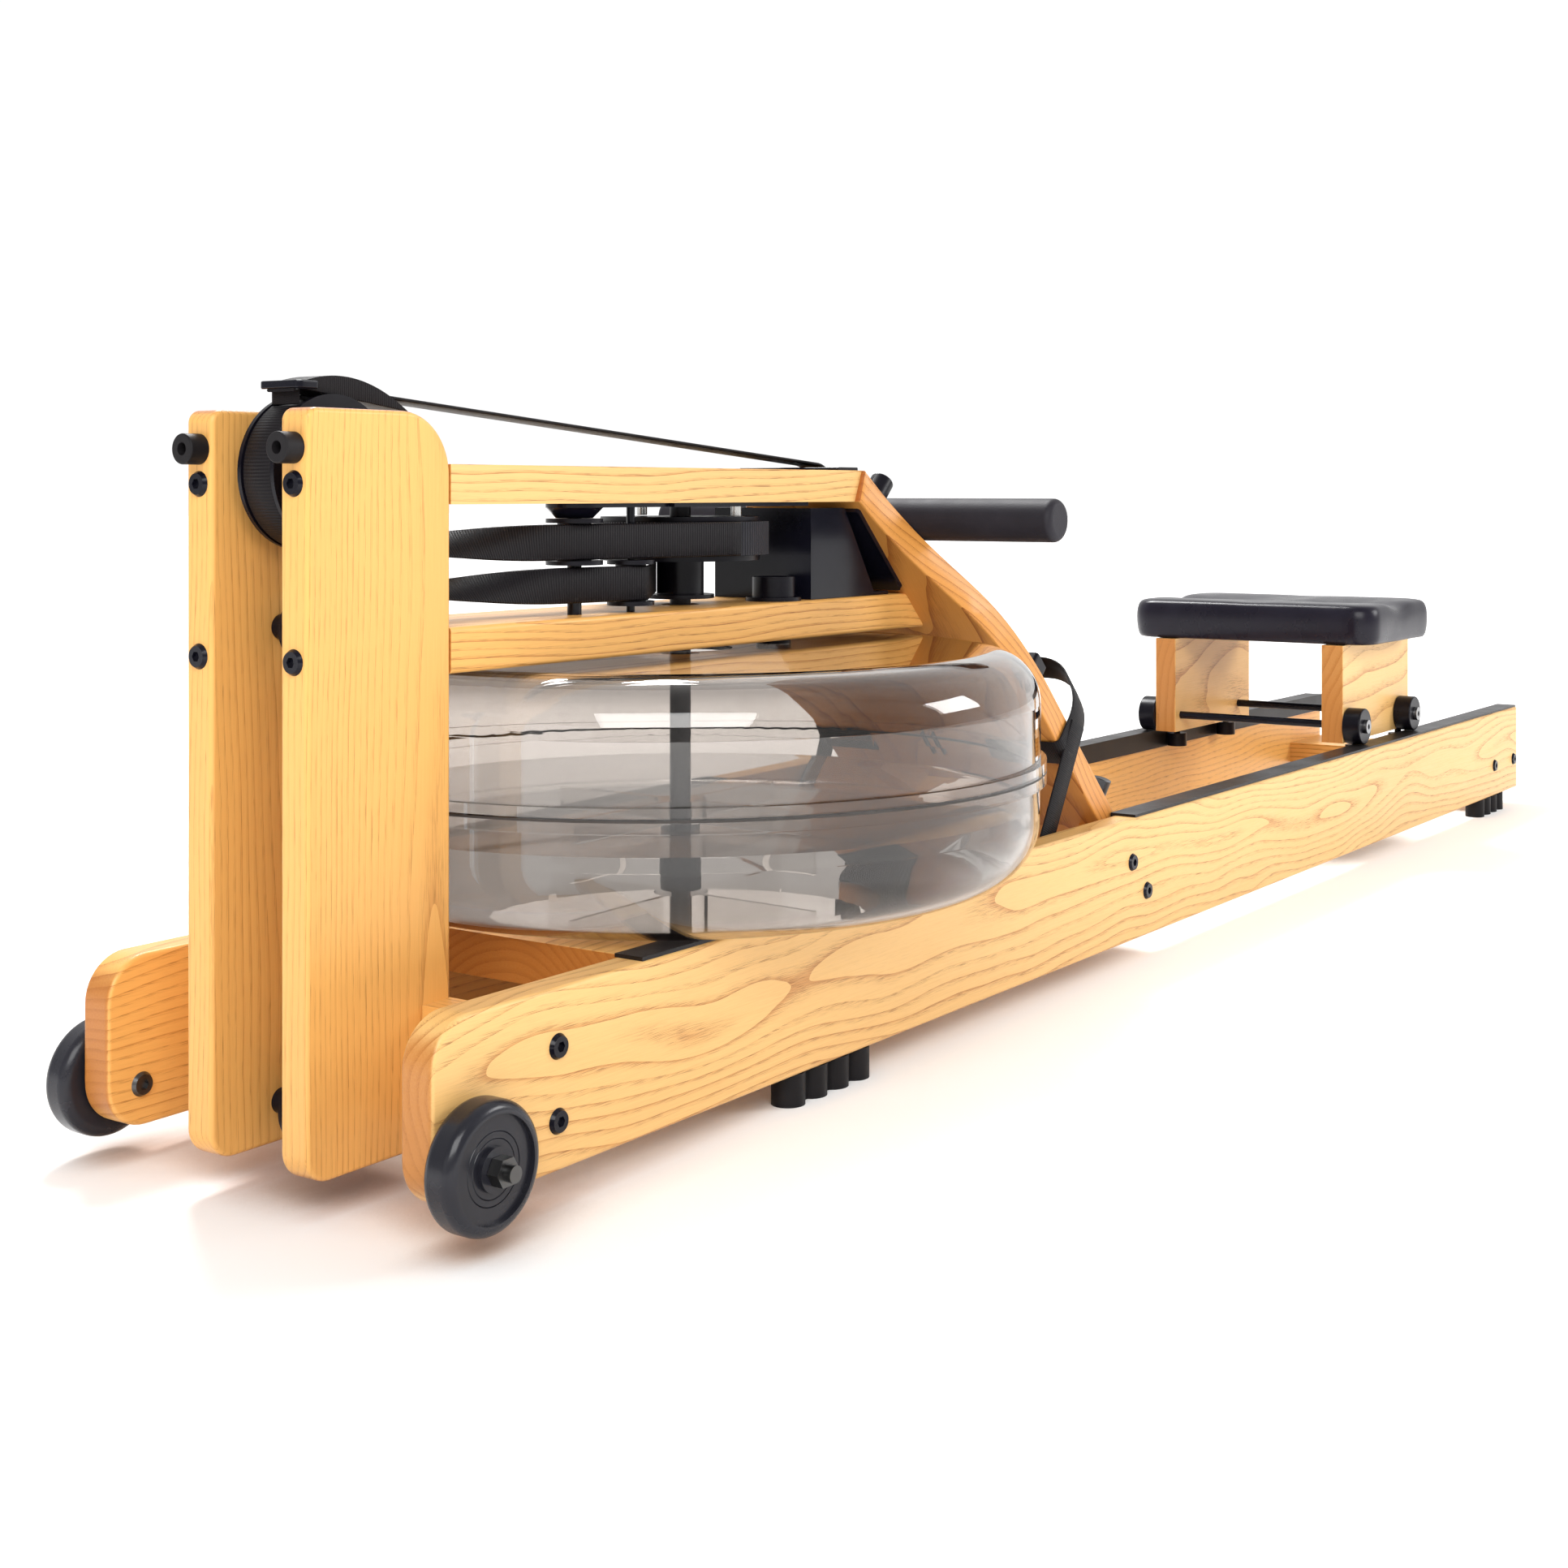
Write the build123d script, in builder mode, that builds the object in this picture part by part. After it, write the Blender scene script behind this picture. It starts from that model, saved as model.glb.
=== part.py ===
from build123d import *
import os
from math import asin, atan2, cos, degrees, hypot, pi, radians, sin, tan

# A rowing machine with a wooden frame and a water tank.
# Millimetres, +X towards the seat, +Z up, floor at Z = 0.
# The rower faces -X, so the rower's left is -Y. Setbacks are measured from the front ends of the rails.

# Fits
running_fit = 0.05
free_gap = 0.3
slide_gap = 0.2

# Side rails
rail_length = 2090.0
rail_thickness = 25.0
rail_height = 111.0
rail_gap = 260.0
rail_nose_radius = 30.0
edge_round = 3.0
foot_height = 23.0

# Front posts
post_depth = 118.0
post_thickness = 23.5
post_gap = 61.0
post_height = 459.0
post_shoulder_radius = 40.0
post_front_radius = 8.0
post_foot_radius = 18.0

# Boards between the rails
cross_board_thickness = 25.0
cross_board_height = 72.0
cross_board_lift = 17.0
tank_board_length = 450.0
tank_board_thickness = 30.0
rear_board_length = 112.0
rear_board_thickness = 27.0
rear_board_lift = 27.0
rear_board_inset = 4.0

# Footboard and top bars, mitred together
board_angle = 45.0
board_thickness = 25.5
board_setback = 870.0
board_foot_length = 115.0
board_side_gap = 3.0
board_top_half_width = 57.0
board_shoulder_start = 150.0
board_waist = ((81.0, 335.0), (116.0, 250.0))
cleat_thickness = 34.0
cleat_width = 25.0
cleat_low = 22.0
cleat_high = 10.0

# Water tank
tank_setback = 419.5
tank_radius = 275.5
tank_height = 176.0
tank_wall = 4.0
tank_mouth_radius = 40.0
tank_shoulder_radius = 40.0
tank_base_radius = 52.0
tank_flange_width = 4.5
tank_flange_height = 17.0
tank_seam_lift = 86.0
gasket_thickness = 1.6
pad_thickness = 2.5
pad_length = 464.0
water_depth = 58.0
fill_offset_x = 82.0
fill_offset_y = -29.0
fill_hole_radius = 14.0
plug_flange_radius = 22.0
plug_flange_height = 3.0
plug_cup_radius = 17.0
plug_cup_height = 16.0

# Paddle
shaft_radius = 8.0
bearing_radius = 15.0
bearing_height = 10.0
paddle_radius = 120.0
paddle_height = 42.0
paddle_lift = 12.0
paddle_hub_radius = 20.0
paddle_blade_thickness = 4.0
paddle_blade_count = 4

# Drive deck and the space above it
deck_gap = 4.0
deck_thickness = 29.5
drive_space = 78.0
plate_thickness = 3.0
plate_front_reach = 70.0
plate_rear_gap = 6.5
plate_edge = 4.0
plate_nut_radius = 4.0
plate_nut_offset = 10.0
plate_nut_edge = 8.0
guide_boss_radius = 20.0
guide_boss_end_radius = 13.0

# Straps and pulleys
strap_width = 25.0
strap_thickness = 2.2
strap_side_gap = 0.7
flange_thickness = 3.0
pulley_setback = 56.0
pulley_drop = 38.0
pulley_groove_radius = 45.5
pulley_flange_radius = 48.5
pulley_axle_radius = 6.0
pulley_hub_radius = 14.0
axle_seat_depth = 7.0
strap_lift_angle = 122.0
strap_straight = 24.0
web_gap = 0.9
drum_radius = 60.0
drum_flange_radius = 61.0
winding_half_turns = 5
winding_gap = 0.5
half_circle = 180
spool_radius = 18.0
spool_flange_radius = 26.0
guide_setback = 268.0
guide_core_radius = 12.0
guide_flange_radius = 20.0
roller_setback = 318.0
roller_offset = 35.0
roller_core_radius = 11.0
roller_flange_radius = 17.0
roller_pin_radius = 3.0
guide_pin_radius = 5.0
twist_end_gap = 30.0
recoil_twist_end_gap = 62.0
twist_sections = 7

# Elastic recoil cord
cord_radius = 4.0
recoil_setback = 54.0
recoil_height = 347.0
recoil_groove_radius = 15.7
recoil_flange_radius = 22.0
recoil_half_width = 8.0
recoil_axle_radius = 4.0
anchor_height = 49.0
cord_tail = 20.0
clip_setback = 92.0
clip_length = 16.0
clip_width = 27.0
clip_height = 12.0

# Handle
handle_board_reach = 345.0
handle_half_length = 202.0
handle_core_radius = 9.0
grip_radius = 17.8
grip_length = 178.0
grip_end_radius = 6.0
loop_thickness = 2.2
ring_length = 18.0
ring_width = 36.0
ring_bar = 4.0
ring_height = 5.0
ring_setback = 34.0
ring_lift = 5.5
fold_length = 86.0
fold_thickness = 6.0
fold_drop = 14.0
fold_crown = 12.0
strap_crest_gap = 4.0
strap_crest_overhang = 5.0
strap_bend_radius = 30.0
guide_plate_length = 28.0
guide_plate_thickness = 2.5
guide_plate_inset = 4.0
peg_radius = 10.0
peg_length = 25.0
peg_reach = 384.0
peg_offset = 46.0

# Monitor
monitor_width = 120.0
monitor_height = 88.0
monitor_depth = 20.0
monitor_reach = 215.0
screen_margin = 14.0
screen_depth = 1.5
back_plate_width = 110.0
back_plate_thickness = 4.0
back_plate_gap = 4.0
bracket_sheet = 3.0
bracket_width = 96.0
bracket_board_gap = 15.0
bracket_foot_length = 114.0
bracket_cheek_length = 92.0
bracket_cheek_top_length = 48.0
bracket_top_gap = 5.0

# Heel cups and foot straps
heel_inner = 12.0
heel_outer = 116.0
heel_bottom = -45.0
heel_length = 145.0
heel_plate = 4.0
heel_wall_height = 52.0
heel_wall_length = 85.0
heel_corner_radius = 40.0
heel_wall_sag = 11.0
foot_strap_width = 30.0
foot_strap_thickness = 2.0
foot_strap_reach = 81.0
foot_strap_arch = 70.0
foot_strap_slot = 6.0
foot_strap_under = 58.0
slot_clearance = 1.0
foot_strap_stand_off = 0.9
foot_strap_bend_radius = 3.0
foot_strap_outer_bend = 94.0
foot_strap_inner_bend = 38.0
tail_width = 25.0
tail_length = 150.0
tail_lean = 46.0
tail_drop = 95.0
tail_tuck = 0.055
tail_off = 32.0
buckle_length = 22.0
buckle_width = 16.0
buckle_height = 11.0
buckle_reach = 165.0

# Seat and tracks
track_setback = 895.0
track_thickness = 2.5
track_lip_thickness = 2.0
track_lip_depth = 20.0
track_edge = 2.0
seat_setback = 1512.0
block_length = 229.0
block_thickness = 26.5
block_height = 114.0
block_outer = 120.0
block_clearance = 1.5
seat_wheel_radius = 21.0
seat_wheel_width = 21.0
seat_wheel_front = 16.0
seat_wheel_spacing = 176.0
seat_axle_radius = 4.5
seat_bolt_radius = 8.0
seat_bolt_height = 4.0
side_guide_radius = 12.0
side_guide_height = 16.0
side_guide_stem_radius = 4.0
side_guide_drop = 7.0
side_guide_front = 53.0
side_guide_spacing = 150.0
pad_width = 312.0
pad_depth = 218.0
pad_height = 48.0
pad_draw_in = 5.0
pad_corner_radius = 26.0
pad_top_draw_in = 7.0
pad_scoop_depth = 7.0
pad_scoop_radius = 260.0
pad_scoop_offset = 70.0

# Transport wheels, feet, bumpers and bolts
wheel_setback = 26.0
wheel_height = 50.0
wheel_radius = 38.5
wheel_width = 23.0
wheel_stand_off = 2.5
wheel_recess_radius = 31.0
wheel_recess_depth = 3.0
wheel_hub_radius = 13.0
wheel_axle_radius = 5.0
wheel_tread_round = 7.0
axle_overhang = 14.0
nut_radius = 9.0
nut_height = 8.0
washer_radius = 9.0
foot_lobe_radius = 12.2
foot_lobe_pitch = 27.5
foot_lobe_count = 4
foot_web = 10.0
front_foot_setback = 403.0
rear_foot_inset = 107.5
bumper_length = 13.0
bumper_radius = 9.5
bumper_bore_radius = 4.0
bumper_bore_depth = 7.0
bumper_round = 1.0
bumper_drop = 24.0
bolt_head_radius = 8.0
bolt_head_height = 2.6
bolt_head_taper = 30.0
bolt_shank_radius = 4.0
bolt_grip = 20.0
bolt_socket_radius = 3.4
bolt_socket_depth = 2.5
cross_bolt_spacing = 45.0
cleat_bolt_spacing = 43.0
cleat_bolt_reach = 60.0
rear_bolt_spacing = 86.0

# Places that follow from the sizes
front = -(rail_length - bumper_length) / 2
rail_bottom = foot_height
rail_top = rail_bottom + rail_height
rail_in = rail_gap / 2
rail_mid = rail_in + rail_thickness / 2
rail_out = rail_in + rail_thickness
rail_rear = front + rail_length

post_rear = front + post_depth
post_bottom = rail_bottom
post_top = post_bottom + post_height
post_in = post_gap / 2
post_mid = post_in + post_thickness / 2
post_out = post_in + post_thickness

tank_x = front + tank_setback
tank_bottom = rail_top + pad_thickness
tank_top = tank_bottom + tank_height
tank_seam = tank_bottom + tank_seam_lift
tank_floor = tank_bottom + tank_wall
fill_x = tank_x + fill_offset_x

deck_bottom = tank_top + deck_gap
deck_top = deck_bottom + deck_thickness
bar_bottom = deck_top + drive_space
bar_top = bar_bottom + board_thickness
bar_mid_z = (bar_bottom + bar_top) / 2
deck_mid_z = (deck_bottom + deck_top) / 2
plate_bottom = bar_bottom - plate_thickness

slope = radians(board_angle)
board_x = front + board_setback
board_half_width = rail_in - board_side_gap
board_plane = Plane(origin=(board_x, 0, rail_top), x_dir=(0, 1, 0), z_dir=(sin(slope), 0, cos(slope)))
board_axis = Axis(board_plane.origin, board_plane.z_dir)


def underside_x(z):
    """X of the footboard's underside at height z."""
    return board_x - (z - rail_top) / tan(slope)


def on_board(y, reach, off):
    """Point at a distance up the footboard's underside and off it."""
    return board_plane.from_local_coords(Vector(y, reach, off))


mitre_x = underside_x(bar_bottom)
mitre_reach = (bar_bottom - rail_top) / sin(slope)
mitre_plane = Plane(
    origin=(mitre_x, 0, bar_bottom),
    x_dir=(0, 1, 0),
    z_dir=(cos(slope / 2), 0, -sin(slope / 2)),
)
mitre_top_x = mitre_x + board_thickness * tan(slope / 2)

pulley_x = front + pulley_setback
pulley_z = post_top - pulley_drop
strap_ring_radius = pulley_groove_radius + free_gap + strap_thickness / 2
drive_strap_z = pulley_z - strap_ring_radius
recoil_x = front + recoil_setback
cord_ring_radius = recoil_groove_radius + free_gap + cord_radius
recoil_strap_z = recoil_height + cord_ring_radius
half_strap = strap_width / 2
half_seat = half_strap + strap_side_gap

winding_pitch = strap_thickness + winding_gap
winding_start = drum_radius + free_gap + strap_thickness / 2
winding_end = winding_start + (winding_half_turns - 1) * winding_pitch / 2
strap_start_x = pulley_x + strap_straight
strap_leave_radius = winding_end + winding_pitch
strap_angle = -asin(strap_leave_radius / (tank_x - strap_start_x))
strap_run = (tank_x - strap_start_x) * cos(strap_angle)
drum_leave = degrees(strap_angle) - 90
drum_low = drive_strap_z - half_seat
drum_high = drive_strap_z + half_seat
drum_top = drum_high + flange_thickness

bracket_web_low = deck_top + bracket_sheet
bracket_x = underside_x(bracket_web_low) - bracket_board_gap - bracket_foot_length
guide_x = front + guide_setback
guide_strap_y = (guide_x - strap_start_x) * tan(strap_angle)
guide_y = guide_strap_y + (guide_core_radius + free_gap + strap_thickness / 2) / cos(strap_angle)
roller_x = front + roller_setback
recoil_start_x = front + clip_setback + clip_length
spool_strap_radius = spool_radius + free_gap + strap_thickness / 2
roller_y = -roller_offset
roller_ring_radius = roller_core_radius + free_gap + strap_thickness / 2
roller_reach = hypot(roller_x - recoil_start_x, roller_y)
recoil_in = atan2(roller_y, roller_x - recoil_start_x) - asin(roller_ring_radius / roller_reach)
spool_reach = hypot(tank_x - roller_x, roller_y)
crossing = asin((roller_ring_radius + spool_strap_radius) / spool_reach)
recoil_out = atan2(-roller_y, tank_x - roller_x) + crossing

track_top = rail_top + track_thickness
seat_wheel_z = track_top + seat_wheel_radius + slide_gap
seat_x = front + seat_setback
seat_axle_xs = (seat_x + seat_wheel_front, seat_x + seat_wheel_front + seat_wheel_spacing)
block_bottom = track_top + block_clearance
block_top = block_bottom + block_height
seat_wheel_in = block_outer + free_gap
seat_wheel_out = seat_wheel_in + seat_wheel_width

wheel_x = front + wheel_setback
wheel_in = rail_out + wheel_stand_off
wheel_out = wheel_in + wheel_width

cross_x = post_rear - cross_board_thickness / 2
cross_mid_z = rail_bottom + cross_board_lift + cross_board_height / 2
rear_board_x = rail_rear - rear_board_inset - rear_board_length / 2
rear_board_z = rail_bottom + rear_board_lift + rear_board_thickness / 2
cleat_centre = on_board(0, -cleat_bolt_reach, -cleat_thickness / 2)
cleat_step = cleat_bolt_spacing / 2
rail_bolt_points = [
    (cross_x, cross_mid_z + cross_bolt_spacing / 2),
    (cross_x, cross_mid_z - cross_bolt_spacing / 2),
    (cleat_centre.X - cleat_step * cos(slope), cleat_centre.Z + cleat_step * sin(slope)),
    (cleat_centre.X + cleat_step * cos(slope), cleat_centre.Z - cleat_step * sin(slope)),
    (rear_board_x - rear_bolt_spacing / 2, rear_board_z),
    (rear_board_x + rear_bolt_spacing / 2, rear_board_z),
]
bolt_hole_radius = bolt_shank_radius + running_fit

os.makedirs("parts", exist_ok=True)


def save(builder, name):
    builder.part.label = name
    export_step(builder.part, f"parts/{name}.step")


def side_plane(y):
    """Sketch plane seen from the left: x to the rear, y up, extruding towards -Y."""
    return Plane(origin=(0, y, 0), x_dir=(1, 0, 0), z_dir=(0, -1, 0))


def block(x0, x1, y0, y1, z0, z1, mode=Mode.ADD):
    """Box between two corners, added to the part being built."""
    with Locations(((x0 + x1) / 2, (y0 + y1) / 2, (z0 + z1) / 2)):
        Box(abs(x1 - x0), abs(y1 - y0), abs(z1 - z0), mode=mode)


def cross_rod(x, z, radius, y0, y1, mode=Mode.ADD):
    """Cylinder across the machine, from y0 to y1."""
    with Locations((x, (y0 + y1) / 2, z)):
        Cylinder(radius, abs(y1 - y0), rotation=(90, 0, 0), mode=mode)


def upright(x, y, radius, z0, z1, mode=Mode.ADD):
    """Upright cylinder from z0 to z1."""
    with Locations((x, y, (z0 + z1) / 2)):
        Cylinder(radius, z1 - z0, mode=mode)


# Side rails: solid planks with rounded noses and eased edges
def make_rail(side):
    with BuildPart() as rail:
        block(front, rail_rear, side * rail_in, side * rail_out, rail_bottom, rail_top)
        fillet(rail.edges().filter_by(Axis.Y).group_by(Axis.X)[0], rail_nose_radius)
        fillet(rail.faces().filter_by(Axis.Y).edges(), edge_round)
        for x, z in rail_bolt_points:
            cross_rod(x, z, bolt_hole_radius, side * rail_in, side * rail_out, Mode.SUBTRACT)
        axle_hole = wheel_axle_radius + running_fit
        cross_rod(wheel_x, wheel_height, axle_hole, side * rail_in, side * rail_out, Mode.SUBTRACT)
    return rail


# Front posts: they carry the front pulley and are notched round the front cross board
def make_post(side):
    with BuildPart() as post:
        with BuildSketch(side_plane(max(side * post_in, side * post_out))) as profile:
            with Locations(((front + post_rear) / 2, (post_bottom + post_top) / 2)):
                Rectangle(post_depth, post_height)
            top = profile.vertices().group_by(Axis.Y)[-1].sort_by(Axis.X)
            fillet(top[-1], post_shoulder_radius)
            fillet(profile.vertices().group_by(Axis.Y)[-1].sort_by(Axis.X)[0], post_front_radius)
            fillet(profile.vertices().group_by(Axis.Y)[0], post_foot_radius)
        extrude(amount=post_thickness)
        fillet(post.faces().filter_by(Axis.Y).edges(), edge_round)
        notch_low = rail_bottom + cross_board_lift
        block(
            post_rear - cross_board_thickness, post_rear + cross_board_thickness,
            side * (post_in - edge_round), side * (post_out + edge_round),
            notch_low, notch_low + cross_board_height, Mode.SUBTRACT,
        )
        seats = (
            (pulley_x, pulley_z, pulley_axle_radius),
            (recoil_x, recoil_height, recoil_axle_radius),
            (recoil_x, anchor_height, recoil_axle_radius),
        )
        for x, z, radius in seats:
            seat_end = post_in + axle_seat_depth
            cross_rod(x, z, radius + running_fit, side * post_in, side * seat_end, Mode.SUBTRACT)
        for z in (bar_mid_z, deck_mid_z):
            with Locations(((front + post_rear) / 2, side * post_mid, z)):
                Cylinder(bolt_hole_radius, post_depth, rotation=(0, 90, 0), mode=Mode.SUBTRACT)
    return post


for side, word in ((-1, "left"), (1, "right")):
    save(make_rail(side), f"{word}_rail")
    save(make_post(side), f"{word}_post")

# Top bars: from the posts to the footboard, with mitred rear ends
with BuildPart() as top_bars:
    for side in (-1, 1):
        bar_reach = mitre_x + board_thickness * 2
        block(post_rear, bar_reach, side * post_in, side * post_out, bar_bottom, bar_top)
    split(bisect_by=mitre_plane, keep=Keep.BOTTOM)
    for side in (-1, 1):
        with Locations((post_rear + bolt_grip / 2, side * post_mid, bar_mid_z)):
            Cylinder(bolt_hole_radius, bolt_grip, rotation=(0, 90, 0), mode=Mode.SUBTRACT)
save(top_bars, "top_bars")

# Drive deck: one plank over the tank, cut to the footboard's underside
with BuildPart() as drive_deck:
    with BuildSketch(side_plane(post_out)):
        with BuildLine():
            Polyline(
                (post_rear, deck_bottom), (underside_x(deck_bottom), deck_bottom),
                (underside_x(deck_top), deck_top), (post_rear, deck_top), close=True,
            )
        make_face()
    extrude(amount=2 * post_out)
    fillet(drive_deck.edges().filter_by(Axis.X), edge_round)
    upright(tank_x, 0, bearing_radius, deck_bottom, deck_top, Mode.SUBTRACT)
    upright(fill_x, fill_offset_y, fill_hole_radius, deck_bottom, deck_top, Mode.SUBTRACT)
    for side in (-1, 1):
        with Locations((post_rear + bolt_grip / 2, side * post_mid, deck_mid_z)):
            Cylinder(bolt_hole_radius, bolt_grip, rotation=(0, 90, 0), mode=Mode.SUBTRACT)
save(drive_deck, "drive_deck")

# Footboard: one board at the slope, narrow at the top and flaring in a curve to the rails
with BuildPart() as footboard:
    with BuildSketch(board_plane):
        with BuildLine():
            top_reach = mitre_reach + board_thickness
            Spline(
                (board_top_half_width, top_reach), *board_waist, (board_half_width, board_shoulder_start),
                tangents=((0, -1), (0, -1)), tangent_scalars=(0.7, 0.7),
            )
            Polyline(
                (board_half_width, board_shoulder_start), (board_half_width, -board_foot_length),
                (0, -board_foot_length),
            )
            Polyline((0, -board_foot_length), (0, top_reach), (board_top_half_width, top_reach))
        half = make_face()
        mirror(half, about=Plane.YZ)
    extrude(amount=board_thickness)
    split(bisect_by=mitre_plane, keep=Keep.TOP)
    slot_length = foot_strap_width + 2 * slot_clearance
    slot_middle = foot_strap_reach + foot_strap_width / 2
    with BuildSketch(board_plane):
        with Locations((-foot_strap_slot, slot_middle), (foot_strap_slot, slot_middle)):
            Rectangle(foot_strap_thickness + 2 * slot_clearance, slot_length)
    extrude(amount=board_thickness, mode=Mode.SUBTRACT)
save(footboard, "footboard")

# Cleats: blocks on the rails that the footboard lies on
with BuildPart() as cleats:
    for side in (-1, 1):
        with BuildSketch(side_plane(max(side * rail_in, side * (rail_in - cleat_width)))):
            corners = [
                on_board(0, reach, off)
                for reach, off in (
                    (-board_foot_length + cleat_low, 0), (-cleat_high, 0),
                    (-cleat_high, -cleat_thickness), (-board_foot_length + cleat_low, -cleat_thickness),
                )
            ]
            with BuildLine():
                Polyline(*[(corner.X, corner.Z) for corner in corners], close=True)
            make_face()
        extrude(amount=cleat_width)
        for x, z in rail_bolt_points[2:4]:
            cross_rod(x, z, bolt_hole_radius, side * (rail_in - bolt_grip), side * rail_in, Mode.SUBTRACT)
save(cleats, "footboard_cleats")

# Cross boards: one on edge, let into the posts, and a flat one at the rear
with BuildPart() as cross_boards:
    cross_low = rail_bottom + cross_board_lift
    cross_high = cross_low + cross_board_height
    block(post_rear - cross_board_thickness, post_rear, -rail_in, rail_in, cross_low, cross_high)
    with Locations((rear_board_x, 0, rear_board_z)):
        Box(rear_board_length, 2 * rail_in, rear_board_thickness)
    for side in (-1, 1):
        for x, z in rail_bolt_points[:2] + rail_bolt_points[4:]:
            cross_rod(x, z, bolt_hole_radius, side * (rail_in - bolt_grip), side * rail_in, Mode.SUBTRACT)
save(cross_boards, "cross_boards")

# Tank board between the rails, level with their tops
with BuildPart() as tank_board:
    tank_board_start = tank_x - tank_board_length / 2
    block(
        tank_board_start, tank_board_start + tank_board_length,
        -rail_in, rail_in, rail_top - tank_board_thickness, rail_top,
    )
save(tank_board, "tank_board")

# Strips on the rails: pads under the tank, and seat tracks with a lip down the inside of each rail
with BuildPart() as rail_strips:
    for side in (-1, 1):
        lip_in = rail_in - track_lip_thickness
        strip_out = rail_out - track_edge
        start = front + track_setback
        block(start, rail_rear, side * lip_in, side * strip_out, rail_top, track_top)
        block(start, rail_rear, side * lip_in, side * rail_in, rail_top - track_lip_depth, rail_top)
        half_pad = pad_length / 2
        block(tank_x - half_pad, tank_x + half_pad, side * rail_in, side * strip_out, rail_top, tank_bottom)
save(rail_strips, "rail_strips")

# Rubber feet under the rails, each a web with round lobes, and bumpers to stand the machine on when stored
with BuildPart() as rubber_feet:
    lobes_length = (foot_lobe_count - 1) * foot_lobe_pitch
    for foot_x in (front + front_foot_setback, rail_rear - rear_foot_inset):
        for side in (-1, 1):
            with BuildSketch():
                with Locations((foot_x, side * rail_mid)):
                    Rectangle(lobes_length, foot_web)
                    with GridLocations(foot_lobe_pitch, 0, foot_lobe_count, 1):
                        Circle(foot_lobe_radius)
            extrude(amount=foot_height)
    for side in (-1, 1):
        with BuildSketch(Plane(origin=(front, side * post_mid, post_top - bumper_drop), z_dir=(-1, 0, 0))):
            Circle(bumper_radius)
        extrude(amount=bumper_length)
    fillet(rubber_feet.faces().filter_by(Axis.X).group_by(Axis.X)[0].edges(), bumper_round)
    for side in (-1, 1):
        bore_x = front - bumper_length + bumper_bore_depth / 2
        with Locations((bore_x, side * post_mid, post_top - bumper_drop)):
            Cylinder(bumper_bore_radius, bumper_bore_depth, rotation=(0, 90, 0), mode=Mode.SUBTRACT)
save(rubber_feet, "rubber_feet")

# Button-head bolts with hexagon sockets, through the rails and the posts
with BuildPart() as frame_bolts:
    seats = []
    for side in (-1, 1):
        for x, z in rail_bolt_points:
            seat = Plane(origin=(x, side * rail_out, z), x_dir=(1, 0, 0), z_dir=(0, side, 0))
            seats.append((seat, rail_thickness + bolt_grip))
        for z in (bar_mid_z, deck_mid_z):
            seat = Plane(origin=(front, side * post_mid, z), x_dir=(0, 1, 0), z_dir=(-1, 0, 0))
            seats.append((seat, post_depth + bolt_grip))
    for seat, shank_length in seats:
        with BuildSketch(seat):
            Circle(bolt_head_radius)
        extrude(amount=bolt_head_height, taper=bolt_head_taper)
        with BuildSketch(seat):
            Circle(bolt_shank_radius)
        extrude(amount=-shank_length)
        with BuildSketch(seat.offset(bolt_head_height)):
            RegularPolygon(bolt_socket_radius, 6)
        extrude(amount=-bolt_socket_depth, mode=Mode.SUBTRACT)
save(frame_bolts, "frame_bolts")

# Transport wheel bolts: a socket head inside each rail, a washer, and a nut outside the wheel
with BuildPart() as wheel_axles:
    for side in (-1, 1):
        cross_rod(wheel_x, wheel_height, wheel_axle_radius, side * rail_in, side * (wheel_out + axle_overhang))
        head_centre = (wheel_x, side * rail_in, wheel_height)
        head_seat = Plane(origin=head_centre, x_dir=(1, 0, 0), z_dir=(0, -side, 0))
        with BuildSketch(head_seat):
            Circle(bolt_head_radius)
        extrude(amount=bolt_head_height, taper=bolt_head_taper)
        with BuildSketch(head_seat.offset(bolt_head_height)):
            RegularPolygon(bolt_socket_radius, 6)
        extrude(amount=-bolt_socket_depth, mode=Mode.SUBTRACT)
        washer_out = wheel_in - free_gap
        cross_rod(wheel_x, wheel_height, washer_radius, side * rail_out, side * washer_out)
        nut_in = wheel_out + free_gap
        nut_centre = (wheel_x, side * nut_in, wheel_height)
        with BuildSketch(Plane(origin=nut_centre, x_dir=(1, 0, 0), z_dir=(0, side, 0))):
            RegularPolygon(nut_radius, 6)
        extrude(amount=nut_height)
save(wheel_axles, "wheel_axles")


# Transport wheels: turned discs with a recessed face and a hub boss
def make_transport_wheel(side):
    with BuildPart() as wheel:
        with BuildSketch(Plane(origin=(wheel_x, 0, wheel_height), x_dir=(1, 0, 0), z_dir=(0, 0, 1))) as profile:
            low, high = sorted((side * wheel_in, side * wheel_out))
            with Locations(((wheel_axle_radius + running_fit + wheel_radius) / 2, (low + high) / 2)):
                Rectangle(wheel_radius - wheel_axle_radius - running_fit, wheel_width)
            fillet(profile.vertices().group_by(Axis.X)[-1], wheel_tread_round)
            recess_mid = (wheel_recess_radius + wheel_hub_radius) / 2
            recess_y = side * (wheel_out - wheel_recess_depth / 2)
            with Locations((recess_mid, recess_y)):
                Rectangle(wheel_recess_radius - wheel_hub_radius, wheel_recess_depth, mode=Mode.SUBTRACT)
        revolve(axis=Axis((wheel_x, 0, wheel_height), (0, 1, 0)))
    return wheel


for side, word in ((-1, "left"), (1, "right")):
    save(make_transport_wheel(side), f"{word}_transport_wheel")

# Tank shells: a deep dish and a domed lid with a flange along the seam
tank_plane = Plane(origin=(tank_x, 0, 0), x_dir=(1, 0, 0), z_dir=(0, -1, 0))
tank_axis = Axis((tank_x, 0, 0), (0, 0, 1))
flange_radius = tank_radius + tank_flange_width
half_flange = tank_flange_height / 2
half_gasket = gasket_thickness / 2


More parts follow.
